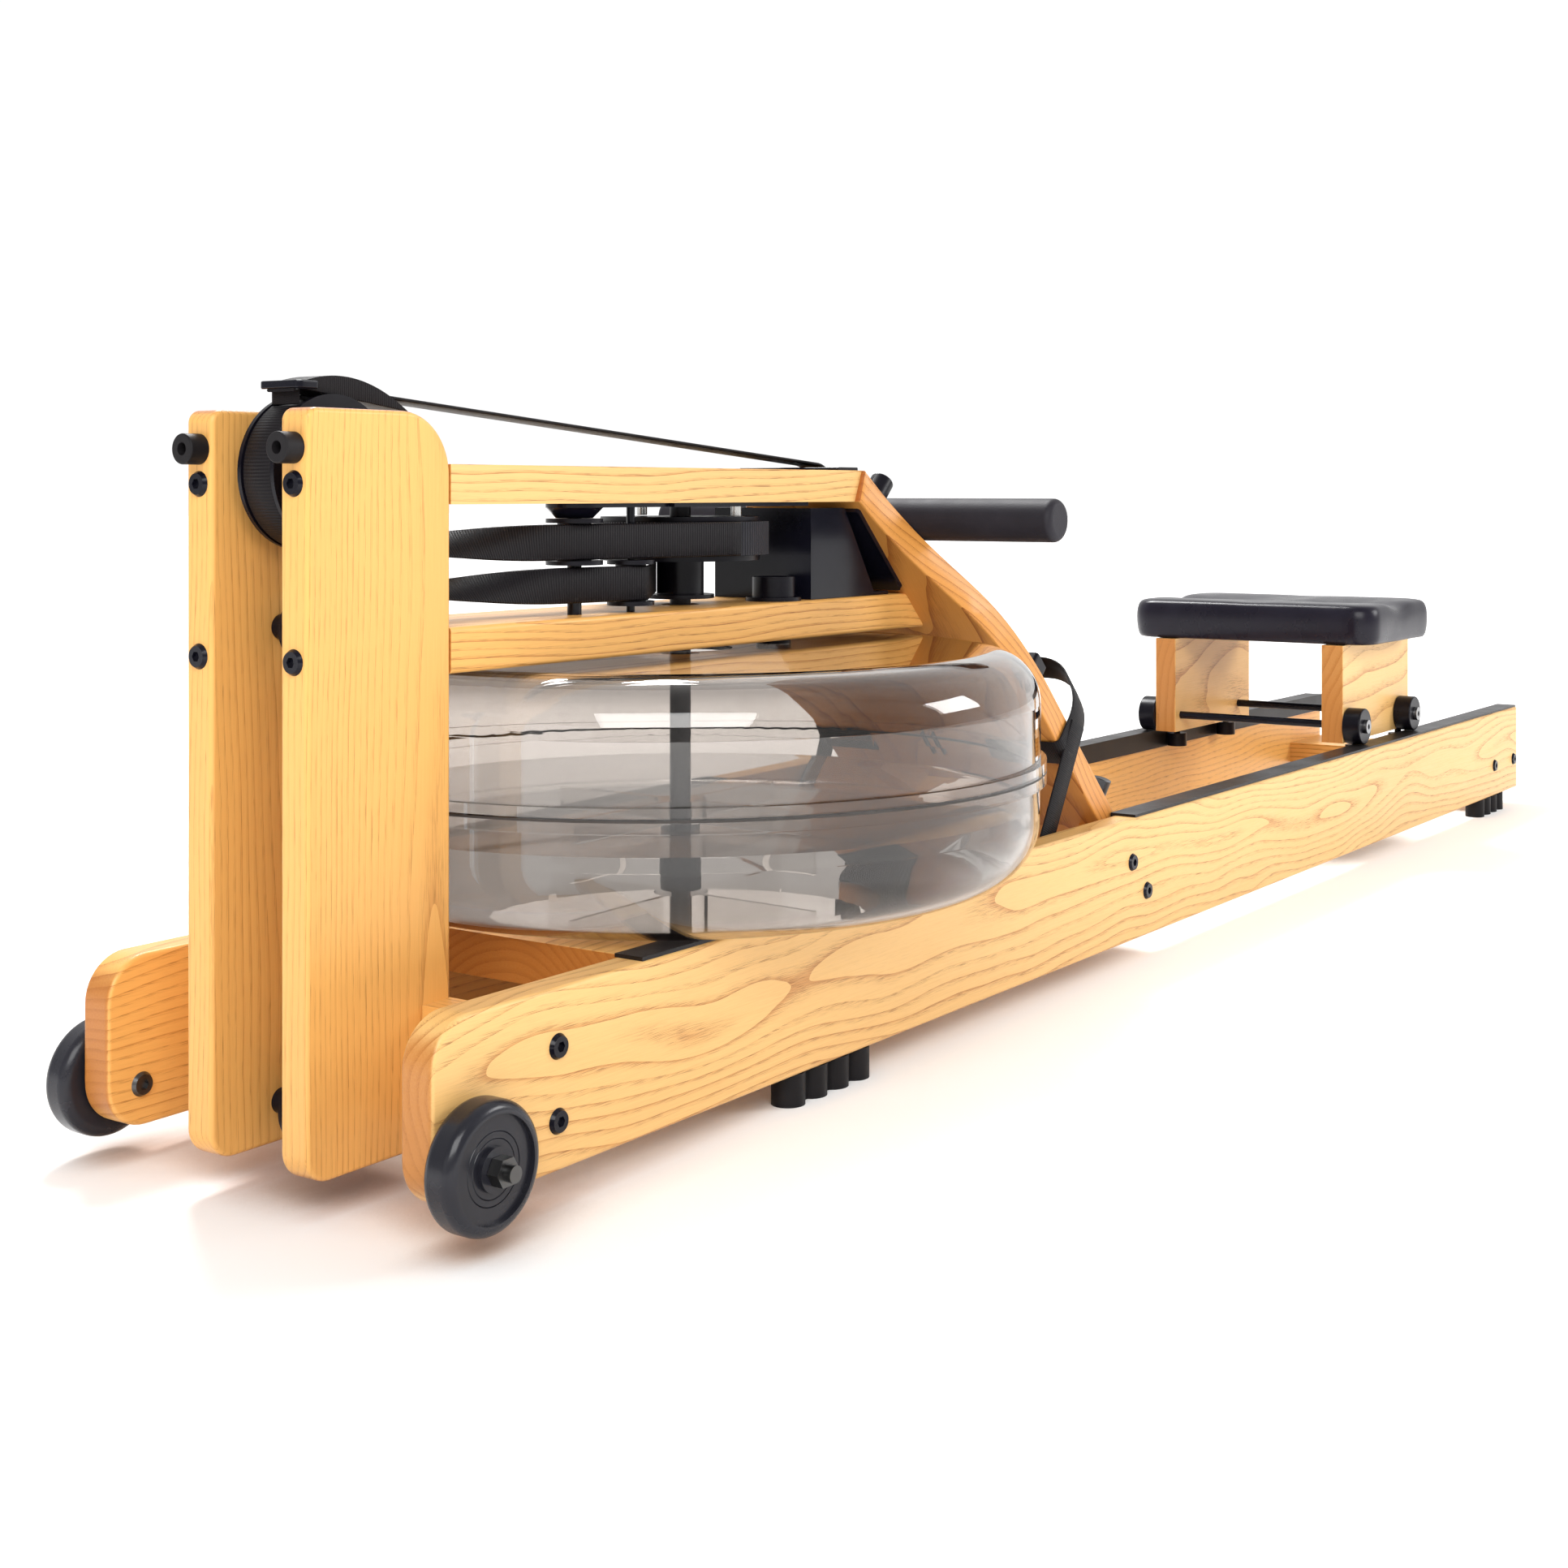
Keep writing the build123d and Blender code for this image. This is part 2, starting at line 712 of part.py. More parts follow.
def make_tank_shell(end_z, seam_sign, corner_radius):
    """One shell as a turned wall between its flat end and the seam."""
    inward = -1 if end_z > tank_seam else 1
    rim_z = tank_seam + seam_sign * half_gasket
    with BuildPart() as shell:
        with BuildSketch(tank_plane) as wall:
            with BuildLine():
                Polyline(
                    (0, end_z), (tank_radius, end_z), (tank_radius, rim_z), (0, rim_z), close=True,
                )
            make_face()
            outer_corner = wall.vertices().group_by(Axis.X)[-1].sort_by(Axis.Y)
            fillet(outer_corner[-1 if inward < 0 else 0], corner_radius)
            with BuildLine():
                inner_end = end_z + inward * tank_wall
                inner_radius = tank_radius - tank_wall
                inner_corner = corner_radius - tank_wall
                FilletPolyline(
                    (0, inner_end), (inner_radius, inner_end), (inner_radius, rim_z), radius=inner_corner,
                )
                Polyline((inner_radius, rim_z), (0, rim_z), (0, inner_end))
            make_face(mode=Mode.SUBTRACT)
            flange_mid = tank_seam + seam_sign * (half_flange + half_gasket) / 2
            with Locations((tank_radius - tank_wall / 2 + tank_flange_width / 2, flange_mid)):
                Rectangle(tank_flange_width + tank_wall, half_flange - half_gasket)
        revolve(axis=tank_axis)
    return shell


save(make_tank_shell(tank_bottom, -1, tank_base_radius), "tank_lower_shell")
tank_lid = make_tank_shell(tank_top, 1, tank_shoulder_radius)
with tank_lid:
    upright(tank_x, 0, tank_mouth_radius, tank_top - tank_wall, tank_top, Mode.SUBTRACT)
    upright(fill_x, fill_offset_y, fill_hole_radius, tank_top - tank_wall, tank_top, Mode.SUBTRACT)
save(tank_lid, "tank_upper_shell")

with BuildPart() as tank_gasket:
    with BuildSketch(Plane.XY.offset(tank_seam - half_gasket)):
        with Locations((tank_x, 0)):
            Circle(flange_radius)
            Circle(tank_radius - tank_wall, mode=Mode.SUBTRACT)
    extrude(amount=gasket_thickness)
save(tank_gasket, "tank_gasket")

# Water, kept clear of the space that the paddle sweeps
with BuildPart() as water:
    with BuildSketch(tank_plane):
        water_edge = tank_radius - tank_wall - slide_gap
        water_low = tank_floor + slide_gap
        water_top = tank_floor + water_depth
        water_in = paddle_radius + slide_gap
        with BuildLine():
            FilletPolyline(
                (water_in, water_low), (water_edge, water_low), (water_edge, water_top),
                radius=tank_base_radius - tank_wall,
            )
            Polyline(
                (water_edge, water_top), (water_in, water_top), (water_in, water_low),
            )
        make_face()
    revolve(axis=tank_axis)
save(water, "water")

# Fill plug: a cup-shaped stopper standing in the tank's fill hole
with BuildPart() as tank_plug:
    upright(fill_x, fill_offset_y, fill_hole_radius - free_gap, tank_top - tank_wall, deck_top)
    upright(fill_x, fill_offset_y, plug_flange_radius, deck_top, deck_top + plug_flange_height)
    cup_low = deck_top + plug_flange_height
    upright(fill_x, fill_offset_y, plug_cup_radius, cup_low, cup_low + plug_cup_height)
    cup_inside = plug_cup_radius - tank_wall
    upright(fill_x, fill_offset_y, cup_inside, cup_low + tank_wall, cup_low + plug_cup_height, Mode.SUBTRACT)
save(tank_plug, "tank_plug")

# Paddle shaft and the paddle on its foot
shaft_top = bar_bottom + plate_thickness
with BuildPart() as paddle_shaft:
    upright(tank_x, 0, shaft_radius, tank_floor + slide_gap, shaft_top)
save(paddle_shaft, "paddle_shaft")

paddle_bottom = tank_floor + paddle_lift
with BuildPart() as paddle:
    upright(tank_x, 0, paddle_hub_radius, paddle_bottom, paddle_bottom + paddle_height)
    with Locations((tank_x, 0, paddle_bottom + paddle_height / 2)):
        with PolarLocations(paddle_radius / 2, paddle_blade_count):
            Box(paddle_radius, paddle_blade_thickness, paddle_height)
    upright(tank_x, 0, shaft_radius + running_fit, paddle_bottom, paddle_bottom + paddle_height, Mode.SUBTRACT)
save(paddle, "paddle")

# Bearings: one on the tank's floor, one in the bracket plate
with BuildPart() as shaft_bearings:
    bore = shaft_radius + running_fit
    for low, high in ((tank_floor, tank_floor + bearing_height), (plate_bottom, bar_bottom)):
        upright(tank_x, 0, bearing_radius, low, high)
        upright(tank_x, 0, bore, low, high, Mode.SUBTRACT)
save(shaft_bearings, "shaft_bearings")

# Bracket plate under the top bars, with an arm and a tapered boss over the guide roller
with BuildPart() as drive_bracket:
    plate_half = post_out - plate_edge
    plate_start = tank_x - plate_front_reach
    block(plate_start, bracket_x - plate_rear_gap, -plate_half, plate_half, plate_bottom, bar_bottom)
    arm_sides = (guide_y - guide_boss_radius, guide_y + guide_boss_radius)
    block(guide_x, plate_start, *arm_sides, plate_bottom, bar_bottom)
    upright(guide_x, guide_y, guide_boss_radius, plate_bottom, bar_bottom)
    boss_low = drum_top + free_gap
    with Locations((guide_x, guide_y, (boss_low + plate_bottom) / 2)):
        Cone(guide_boss_end_radius, guide_boss_radius, plate_bottom - boss_low)
    upright(guide_x, guide_y, guide_pin_radius + running_fit, boss_low, plate_bottom, Mode.SUBTRACT)
    upright(tank_x, 0, bearing_radius, plate_bottom, bar_bottom, Mode.SUBTRACT)
save(drive_bracket, "drive_bracket")

# Nuts that hold the plate, beside the drum's shaft
with BuildPart() as plate_nuts:
    nut_y = plate_half - plate_nut_edge + plate_nut_radius
    for side in (-1, 1):
        upright(tank_x + plate_nut_offset, side * nut_y, plate_nut_radius, drum_top + winding_gap, plate_bottom)
save(plate_nuts, "plate_nuts")

# Pins between the drive deck and the bracket plate, which carry the rollers
with BuildPart() as roller_pins:
    upright(guide_x, guide_y, guide_pin_radius, deck_top, plate_bottom)
    upright(roller_x, roller_y, roller_pin_radius, deck_top, plate_bottom)
save(roller_pins, "roller_pins")


def make_roller(x, y, pin_radius, core_radius, rim_radius, middle):
    """Upright flanged roller for a strap, on a pin."""
    with BuildPart() as roller:
        low = middle - half_seat
        high = middle + half_seat
        upright(x, y, core_radius, low, high)
        upright(x, y, rim_radius, low - flange_thickness, low)
        upright(x, y, rim_radius, high, high + flange_thickness)
        bore = pin_radius + running_fit
        upright(x, y, bore, low - flange_thickness, high + flange_thickness, Mode.SUBTRACT)
    return roller


guide_roller = make_roller(
    guide_x, guide_y, guide_pin_radius, guide_core_radius, guide_flange_radius, drive_strap_z,
)
save(guide_roller, "guide_roller")
recoil_roller = make_roller(
    roller_x, roller_y, roller_pin_radius, roller_core_radius, roller_flange_radius, recoil_strap_z,
)
save(recoil_roller, "recoil_roller")

# Strap drum: a large drum for the drive strap over a small spool for the recoil strap
with BuildPart() as strap_drum:
    spool_low = recoil_strap_z - half_seat
    spool_high = recoil_strap_z + half_seat
    upright(tank_x, 0, spool_flange_radius, spool_low - flange_thickness, spool_low)
    upright(tank_x, 0, spool_radius, spool_low, spool_high)
    upright(tank_x, 0, drum_flange_radius, spool_high, drum_low)
    upright(tank_x, 0, drum_radius, drum_low, drum_high)
    upright(tank_x, 0, drum_flange_radius, drum_high, drum_top)
    drum_bore = shaft_radius + running_fit
    upright(tank_x, 0, drum_bore, spool_low - flange_thickness, drum_top, Mode.SUBTRACT)
save(strap_drum, "strap_drum")

# The strap wound on the drum: one strip in half circles of growing radius
spiral_start = radians(drum_leave + half_circle)
with BuildPart() as drum_winding:
    with BuildSketch(Plane.XY.offset(drive_strap_z - half_strap)):
        with BuildLine():
            for half_turn in range(winding_half_turns):
                shift = (half_turn % 2) * winding_pitch / 2
                centre = (tank_x + shift * cos(spiral_start), shift * sin(spiral_start))
                CenterArc(
                    centre, winding_start + half_turn * winding_pitch / 2,
                    degrees(spiral_start) + half_circle * half_turn, -half_circle,
                )
        trace(line_width=strap_thickness)
    extrude(amount=strap_width)
save(drum_winding, "drum_winding")


def twisted_span(start, line_angle, twist_end, middle):
    """Strap that turns from lying flat to standing on edge along a level line."""
    direction = Vector(cos(line_angle), sin(line_angle), 0)
    across = Vector(-sin(line_angle), cos(line_angle), 0)
    sections = []
    for step in range(twist_sections):
        share = step / (twist_sections - 1)
        turn = share * pi / 2
        if step == 0:
            plane = Plane(origin=(start.X, start.Y, middle), x_dir=(0, 1, 0), z_dir=(1, 0, 0))
        else:
            place = start + direction * (share * twist_end)
            width_way = across * cos(turn) + Vector(0, 0, 1) * sin(turn)
            plane = Plane(origin=(place.X, place.Y, middle), x_dir=width_way, z_dir=direction)
        sections.append(plane)
    return sections


# Drive strap: from the drum past the guide roller, turning flat, then round the front of the pulley
twist_run = (guide_x - strap_start_x - twist_end_gap) / cos(strap_angle)
strap_start = Vector(strap_start_x, 0, drive_strap_z)
with BuildPart() as drive_strap:
    for plane in twisted_span(strap_start, strap_angle, twist_run, drive_strap_z):
        with BuildSketch(plane):
            Rectangle(strap_width, strap_thickness)
    loft(ruled=True)
    with BuildSketch(Plane.XY.offset(drive_strap_z - half_strap)):
        with BuildLine():
            strap_line = [
                (strap_start_x + run * cos(strap_angle), run * sin(strap_angle))
                for run in (twist_run, strap_run)
            ]
            Line(*strap_line)
        trace(line_width=strap_thickness)
    extrude(amount=strap_width)
    with BuildSketch(side_plane(half_strap)):
        with BuildLine():
            Line((strap_start_x, drive_strap_z), (pulley_x, drive_strap_z))
            CenterArc((pulley_x, pulley_z), strap_ring_radius, 270, strap_lift_angle - 270)
        trace(line_width=strap_thickness)
    extrude(amount=strap_width)
save(drive_strap, "drive_strap")

# Recoil strap: from the cord clip, turning on edge, round the recoil roller to the spool's other side
def beside(x, y, radius, angle):
    """Point at the right hand of a centre, for a strap that runs at an angle."""
    return (x + radius * sin(angle), y - radius * cos(angle))


recoil_twist = roller_reach * cos(asin(roller_ring_radius / roller_reach)) - recoil_twist_end_gap
with BuildPart() as recoil_strap:
    recoil_point = Vector(recoil_start_x, 0, recoil_strap_z)
    for plane in twisted_span(recoil_point, recoil_in, recoil_twist, recoil_strap_z):
        with BuildSketch(plane):
            Rectangle(strap_width, strap_thickness)
    loft(ruled=True)
    with BuildSketch(Plane.XY.offset(recoil_strap_z - half_strap)):
        with BuildLine():
            Line(
                (recoil_start_x + recoil_twist * cos(recoil_in), recoil_twist * sin(recoil_in)),
                beside(roller_x, roller_y, roller_ring_radius, recoil_in),
            )
            turn = degrees(recoil_out - recoil_in)
            CenterArc((roller_x, roller_y), roller_ring_radius, degrees(recoil_in) - 90, turn)
            Line(
                beside(roller_x, roller_y, roller_ring_radius, recoil_out),
                beside(tank_x, 0, -spool_strap_radius, recoil_out),
            )
        trace(line_width=strap_thickness)
    extrude(amount=strap_width)
save(recoil_strap, "recoil_strap")

# Elastic recoil cord: over the recoil pulley, down between the posts and round the lower anchor
clip_start = front + clip_setback
cord_front = recoil_x - cord_ring_radius
cord_rear = recoil_x + cord_ring_radius
with BuildPart() as recoil_cord:
    with BuildLine(side_plane(0)) as cord_path:
        Line((clip_start, recoil_strap_z), (recoil_x, recoil_strap_z))
        CenterArc((recoil_x, recoil_height), cord_ring_radius, 90, 90)
        Line((cord_front, recoil_height), (cord_front, anchor_height))
        CenterArc((recoil_x, anchor_height), cord_ring_radius, 180, 180)
        Line((cord_rear, anchor_height), (cord_rear, anchor_height + cord_tail))
    with BuildSketch(Plane(origin=(clip_start, 0, recoil_strap_z), x_dir=(0, 1, 0), z_dir=(-1, 0, 0))):
        Circle(cord_radius)
    sweep(path=cord_path.line)
save(recoil_cord, "recoil_cord")


def make_grooved_wheel(z):
    """Grooved wheel for the recoil cord, between the posts."""
    with BuildPart() as wheel:
        half = recoil_half_width
        cross_rod(recoil_x, z, recoil_flange_radius, -half, half)
        groove_half = cord_radius + free_gap
        with BuildSketch(Plane(origin=(recoil_x, 0, z), x_dir=(1, 0, 0), z_dir=(0, 0, 1))):
            rim = recoil_flange_radius - recoil_groove_radius
            with Locations((recoil_groove_radius + rim / 2, 0)):
                Rectangle(rim, 2 * groove_half)
        revolve(axis=Axis((recoil_x, 0, z), (0, 1, 0)), mode=Mode.SUBTRACT)
        hub = recoil_axle_radius * 2
        cross_rod(recoil_x, z, hub, -(post_in - free_gap), post_in - free_gap)
        bore = recoil_axle_radius + running_fit
        cross_rod(recoil_x, z, bore, -post_in, post_in, Mode.SUBTRACT)
    return wheel


save(make_grooved_wheel(recoil_height), "recoil_pulley")

# Fixed recoil fittings: the cord's lower anchor and the clip that joins it to the strap
recoil_fittings = make_grooved_wheel(anchor_height)
with recoil_fittings:
    with Locations((clip_start + clip_length / 2, 0, recoil_strap_z)):
        Box(clip_length, clip_width, clip_height)
save(recoil_fittings, "recoil_fittings")

# Front pulley between the posts
with BuildPart() as front_pulley:
    cross_rod(pulley_x, pulley_z, pulley_groove_radius, -half_seat, half_seat)
    for side in (-1, 1):
        rim_out = half_seat + flange_thickness
        cross_rod(pulley_x, pulley_z, pulley_flange_radius, side * half_seat, side * rim_out)
        cross_rod(pulley_x, pulley_z, pulley_hub_radius, side * rim_out, side * (post_in - free_gap))
    cross_rod(pulley_x, pulley_z, pulley_axle_radius + running_fit, -post_in, post_in, Mode.SUBTRACT)
save(front_pulley, "front_pulley")

# Axles of the pulleys, with their ends in blind holes in the posts
with BuildPart() as pulley_axles:
    half_axle = post_in + axle_seat_depth
    cross_rod(pulley_x, pulley_z, pulley_axle_radius, -half_axle, half_axle)
    for z in (recoil_height, anchor_height):
        cross_rod(recoil_x, z, recoil_axle_radius, -half_axle, half_axle)
save(pulley_axles, "pulley_axles")

# Handle: a core bar with two foam grips, held by a strap round its middle
handle_off = board_thickness + grip_radius + free_gap
handle_centre = on_board(0, handle_board_reach, handle_off)
with BuildPart() as handle_core:
    core_half = handle_half_length - grip_end_radius
    cross_rod(handle_centre.X, handle_centre.Z, handle_core_radius, -core_half, core_half)
save(handle_core, "handle_core")

with BuildPart() as handle_grips:
    for side in (-1, 1):
        grip_in = handle_half_length - grip_length
        cross_rod(handle_centre.X, handle_centre.Z, grip_radius, side * grip_in, side * handle_half_length)
    ends = handle_grips.edges().filter_by(GeomType.CIRCLE).group_by(Axis.Y)
    fillet(ends[0] + ends[-1], grip_end_radius)
    for side in (-1, 1):
        bore_in = handle_half_length - grip_length
        bore_radius = handle_core_radius + running_fit
        ends = (side * bore_in, side * core_half)
        cross_rod(handle_centre.X, handle_centre.Z, bore_radius, *ends, Mode.SUBTRACT)
save(handle_grips, "handle_grips")

# Strap ring over the front pulley, where the drive strap meets the handle strap
ring_x = front + ring_setback
ring_low = pulley_z + pulley_groove_radius + ring_lift
with BuildPart() as strap_ring:
    with BuildSketch(Plane.XY.offset(ring_low)):
        with Locations((ring_x, 0)):
            RectangleRounded(ring_length, ring_width, ring_bar)
            hole_length = ring_length - 2 * ring_bar
            hole_width = ring_width - 2 * ring_bar
            RectangleRounded(hole_length, hole_width, ring_bar / 2, mode=Mode.SUBTRACT)
    extrude(amount=ring_height)
    fillet(strap_ring.faces().filter_by(Axis.Z).edges(), ring_bar / 4)
save(strap_ring, "strap_ring")

# Handle strap: a thick sewn fold at the ring, a flat run over the footboard's top, and a loop round the core
ring_mid_z = ring_low + ring_height / 2
crest_x = mitre_top_x + strap_crest_overhang
crest_z = bar_top + strap_crest_gap + strap_thickness / 2
fold_x = ring_x + ring_length / 2 - ring_bar - strap_thickness - free_gap
loop_radius = handle_core_radius + free_gap + loop_thickness
with BuildPart() as handle_strap:
    with BuildSketch(side_plane(half_strap)):
        with BuildLine():
            FilletPolyline(
                (fold_x, ring_mid_z), (crest_x, crest_z), (handle_centre.X, handle_centre.Z + loop_radius / 2),
                radius=strap_bend_radius,
            )
        trace(line_width=strap_thickness)
        fold_end = (fold_x + fold_length, ring_mid_z - fold_drop)
        fold_crown_z = ring_mid_z - fold_drop / 2 + fold_crown
        with BuildLine():
            ThreePointArc(
                (fold_x, ring_mid_z + fold_thickness / 2), (fold_x + fold_length / 2, fold_crown_z), fold_end,
            )
            Polyline(
                fold_end, (fold_x, ring_mid_z - fold_thickness / 2), (fold_x, ring_mid_z + fold_thickness / 2),
            )
        make_face()
        with Locations((handle_centre.X, handle_centre.Z)):
            Circle(loop_radius)
            Circle(handle_core_radius + free_gap, mode=Mode.SUBTRACT)
    extrude(amount=strap_width)
    bar_mid = ring_x + ring_length / 2 - ring_bar / 2
    half_slot = ring_bar / 2 + free_gap
    slot_half_height = ring_height / 2 + free_gap
    block(
        bar_mid - half_slot, bar_mid + half_slot, -ring_width / 2, ring_width / 2,
        ring_mid_z - slot_half_height, ring_mid_z + slot_half_height, Mode.SUBTRACT,
    )
save(handle_strap, "handle_strap")

# Short web from the pulley to the ring, which pays out as the handle is pulled
lift = radians(strap_lift_angle)
with BuildPart() as payout_strap:
    web_foot_x = pulley_x + strap_ring_radius * cos(lift)
    web_foot_z = pulley_z + strap_ring_radius * sin(lift) + strap_thickness
    with BuildSketch(side_plane(half_strap)):
        with BuildLine():
            Line((web_foot_x, web_foot_z), (ring_x - ring_length / 2 + ring_bar / 2, ring_low - web_gap))
        trace(line_width=strap_thickness)
    extrude(amount=strap_width)
save(payout_strap, "payout_strap")

# Handle rests: a low plate that the strap runs over, and two pegs above the handle's place
with BuildPart() as handle_rests:
    guide_half = post_out - guide_plate_inset
    plate_start = mitre_top_x - guide_plate_length
    block(plate_start, mitre_top_x, -guide_half, guide_half, bar_top, bar_top + guide_plate_thickness)
    fillet(handle_rests.edges().filter_by(Axis.Y).group_by(Axis.Z)[-1], guide_plate_thickness / 2)
    with BuildSketch(board_plane.offset(board_thickness)):
        with Locations((-peg_offset, peg_reach), (peg_offset, peg_reach)):
            Circle(peg_radius)
    extrude(amount=peg_length)
    fillet(handle_rests.faces().sort_by(board_axis)[-2:].edges(), edge_round / 2)
save(handle_rests, "handle_rests")

# Monitor on the face towards the rower, with a screen set into its case
with BuildPart() as monitor_case:
    monitor_mid = monitor_reach + monitor_height / 2
    with BuildSketch(board_plane.offset(board_thickness)):
        with Locations((0, monitor_mid)):
            RectangleRounded(monitor_width, monitor_height, screen_margin / 2)
    extrude(amount=monitor_depth)
    fillet(monitor_case.faces().sort_by(board_axis)[-1].edges(), screen_margin / 4)
    with BuildSketch(board_plane.offset(board_thickness + monitor_depth)):
        with Locations((0, monitor_mid)):
            Rectangle(monitor_width - 2 * screen_margin, monitor_height - 2 * screen_margin)
    extrude(amount=-screen_depth, mode=Mode.SUBTRACT)
save(monitor_case, "monitor_case")

with BuildPart() as monitor_screen:
    with BuildSketch(board_plane.offset(board_thickness + monitor_depth - screen_depth)):
        with Locations((0, monitor_mid)):
            screen_width = monitor_width - 2 * screen_margin - 2 * free_gap
            Rectangle(screen_width, monitor_height - 2 * screen_margin - 2 * free_gap)
    extrude(amount=screen_depth - running_fit)
save(monitor_screen, "monitor_screen")

# Sheet bracket on the drive deck, with a web and two cheeks, and a cover plate on the footboard's underside
with BuildPart() as monitor_bracket:
    half_bracket = bracket_width / 2
    web_low = bracket_web_low
    web_high = bar_bottom - bracket_top_gap
    block(bracket_x, bracket_x + bracket_foot_length, -half_bracket, half_bracket, deck_top, web_low)
    block(bracket_x, bracket_x + bracket_sheet, -half_bracket, half_bracket, web_low, web_high)
    for side in (-1, 1):
        with BuildSketch(side_plane(max(side * half_bracket, side * (half_bracket - bracket_sheet)))):
            with BuildLine():
                Polyline(
                    (bracket_x, web_low), (bracket_x + bracket_cheek_length, web_low),
                    (bracket_x + bracket_cheek_top_length, web_high), (bracket_x, web_high), close=True,
                )
            make_face()
        extrude(amount=bracket_sheet)
    plate_low = (deck_top - rail_top) / sin(slope) + back_plate_gap + back_plate_thickness
    plate_high = mitre_reach - back_plate_gap - back_plate_thickness
    with BuildSketch(board_plane):
        with Locations((0, (plate_low + plate_high) / 2)):
            RectangleRounded(back_plate_width, plate_high - plate_low, edge_round)
    extrude(amount=-back_plate_thickness)
save(monitor_bracket, "monitor_bracket")


# Heel cups: a sole plate that slides on the footboard, with a wall round the heel
def make_heel_cup(side):
    with BuildPart() as cup:
        middle_y = side * (heel_inner + heel_outer) / 2
        width = heel_outer - heel_inner
        base = board_plane.offset(board_thickness + slide_gap)
        with BuildSketch(base) as sole:
            with Locations((middle_y, heel_bottom + heel_length / 2)):
                Rectangle(width, heel_length)
            fillet(sole.vertices().group_by(Axis.Y)[0], heel_corner_radius)
        extrude(amount=heel_plate)
        with BuildSketch(base.offset(heel_plate)) as rim:
            with Locations((middle_y, heel_bottom + heel_wall_length / 2)):
                Rectangle(width, heel_wall_length)
            fillet(rim.vertices().group_by(Axis.Y)[0], heel_corner_radius)
        extrude(amount=heel_wall_height)
        with BuildSketch(base.offset(heel_plate)) as inside:
            with Locations((middle_y, heel_bottom + heel_plate + heel_wall_length / 2)):
                Rectangle(width - 2 * heel_plate, heel_wall_length)
            fillet(inside.vertices().group_by(Axis.Y)[0], heel_corner_radius - heel_plate)
        extrude(amount=heel_wall_height, mode=Mode.SUBTRACT)
        wall_foot = board_thickness + slide_gap + heel_plate
        wall_top = wall_foot + heel_wall_height
        wall_end = heel_bottom + heel_wall_length
        hollow = (heel_bottom + heel_wall_length / 2, wall_foot + heel_wall_height / 2 - heel_wall_sag)
        cut_from = on_board(side * heel_outer, 0, 0)
        with BuildSketch(Plane(origin=cut_from, x_dir=board_plane.y_dir, z_dir=(0, 1, 0))):
            with BuildLine():
                ThreePointArc((heel_bottom, wall_top), hollow, (wall_end, wall_foot))
                Polyline((wall_end, wall_foot), (wall_end, wall_top), (heel_bottom, wall_top))
            make_face()
        extrude(amount=width, both=True, mode=Mode.SUBTRACT)
    return cup


for side, word in ((-1, "left"), (1, "right")):
    save(make_heel_cup(side), f"{word}_heel_cup")

# Foot straps: through slots in the middle of the board, over each foot, round the edge, with a hanging tail
with BuildPart() as foot_straps:
    half_band = foot_strap_thickness / 2
    band_edge = board_half_width + half_band + foot_strap_stand_off
    band_under = -half_band - foot_strap_stand_off
    band_top = board_thickness + foot_strap_arch
    band_shoulder = board_thickness + foot_strap_arch / 3
    band_plane = Plane(origin=on_board(0, foot_strap_reach, 0), x_dir=(0, 1, 0), z_dir=-board_plane.y_dir)
    tail_way = Vector(-tail_lean, 0, -tail_drop).normalized()
    for side in (-1, 1):
        with BuildSketch(band_plane):
            with BuildLine():
                FilletPolyline(
                    (side * (board_half_width - foot_strap_under), band_under), (side * band_edge, band_under),
                    (side * band_edge, band_shoulder), (side * foot_strap_outer_bend, band_top),
                    (side * foot_strap_inner_bend, band_top), (side * foot_strap_slot, band_shoulder),
                    (side * foot_strap_slot, band_under),
                    radius=foot_strap_bend_radius,
                )
            trace(line_width=foot_strap_thickness)
        extrude(amount=-foot_strap_width)
        tail_start = on_board(side * (band_edge + 1.5 * half_band), slot_middle, tail_off)
        tail_down = (tail_way + Vector(0, -side * tail_tuck, 0)).normalized()
        tail_across = Vector(tail_way.Z, 0, -tail_way.X)
        with BuildSketch(Plane(origin=tail_start, x_dir=tail_down, z_dir=tail_across.cross(tail_down))):
            with Locations((tail_length / 2, 0)):
                Rectangle(tail_length, tail_width)
        extrude(amount=half_band, both=True)
save(foot_straps, "foot_straps")

# Buckles of the foot straps, screwed to the board near its edges
with BuildPart() as strap_buckles:
    with BuildSketch(board_plane.offset(board_thickness)):
        buckle_y = board_half_width - edge_round - buckle_width / 2
        for side in (-1, 1):
            with Locations((side * buckle_y, buckle_reach + buckle_length / 2)):
                RectangleRounded(buckle_width, buckle_length, edge_round)
    extrude(amount=buckle_height)
save(strap_buckles, "strap_buckles")


# Seat blocks: upright boards under the pad, with holes for the axles
with BuildPart() as seat_blocks:
    block_inner = block_outer - block_thickness
    for side in (-1, 1):
        block(seat_x, seat_x + block_length, side * block_inner, side * block_outer, block_bottom, block_top)
    fillet(seat_blocks.edges().filter_by(Axis.Z), edge_round / 2)
    for x in seat_axle_xs:
        cross_rod(x, seat_wheel_z, seat_axle_radius + running_fit, -block_outer, block_outer, Mode.SUBTRACT)
save(seat_blocks, "seat_blocks")

# Seat axles: rods through both blocks, with the wheels on their ends
with BuildPart() as seat_axles:
    for x in seat_axle_xs:
        cross_rod(x, seat_wheel_z, seat_axle_radius, -(seat_wheel_out + free_gap), seat_wheel_out + free_gap)
save(seat_axles, "seat_axles")

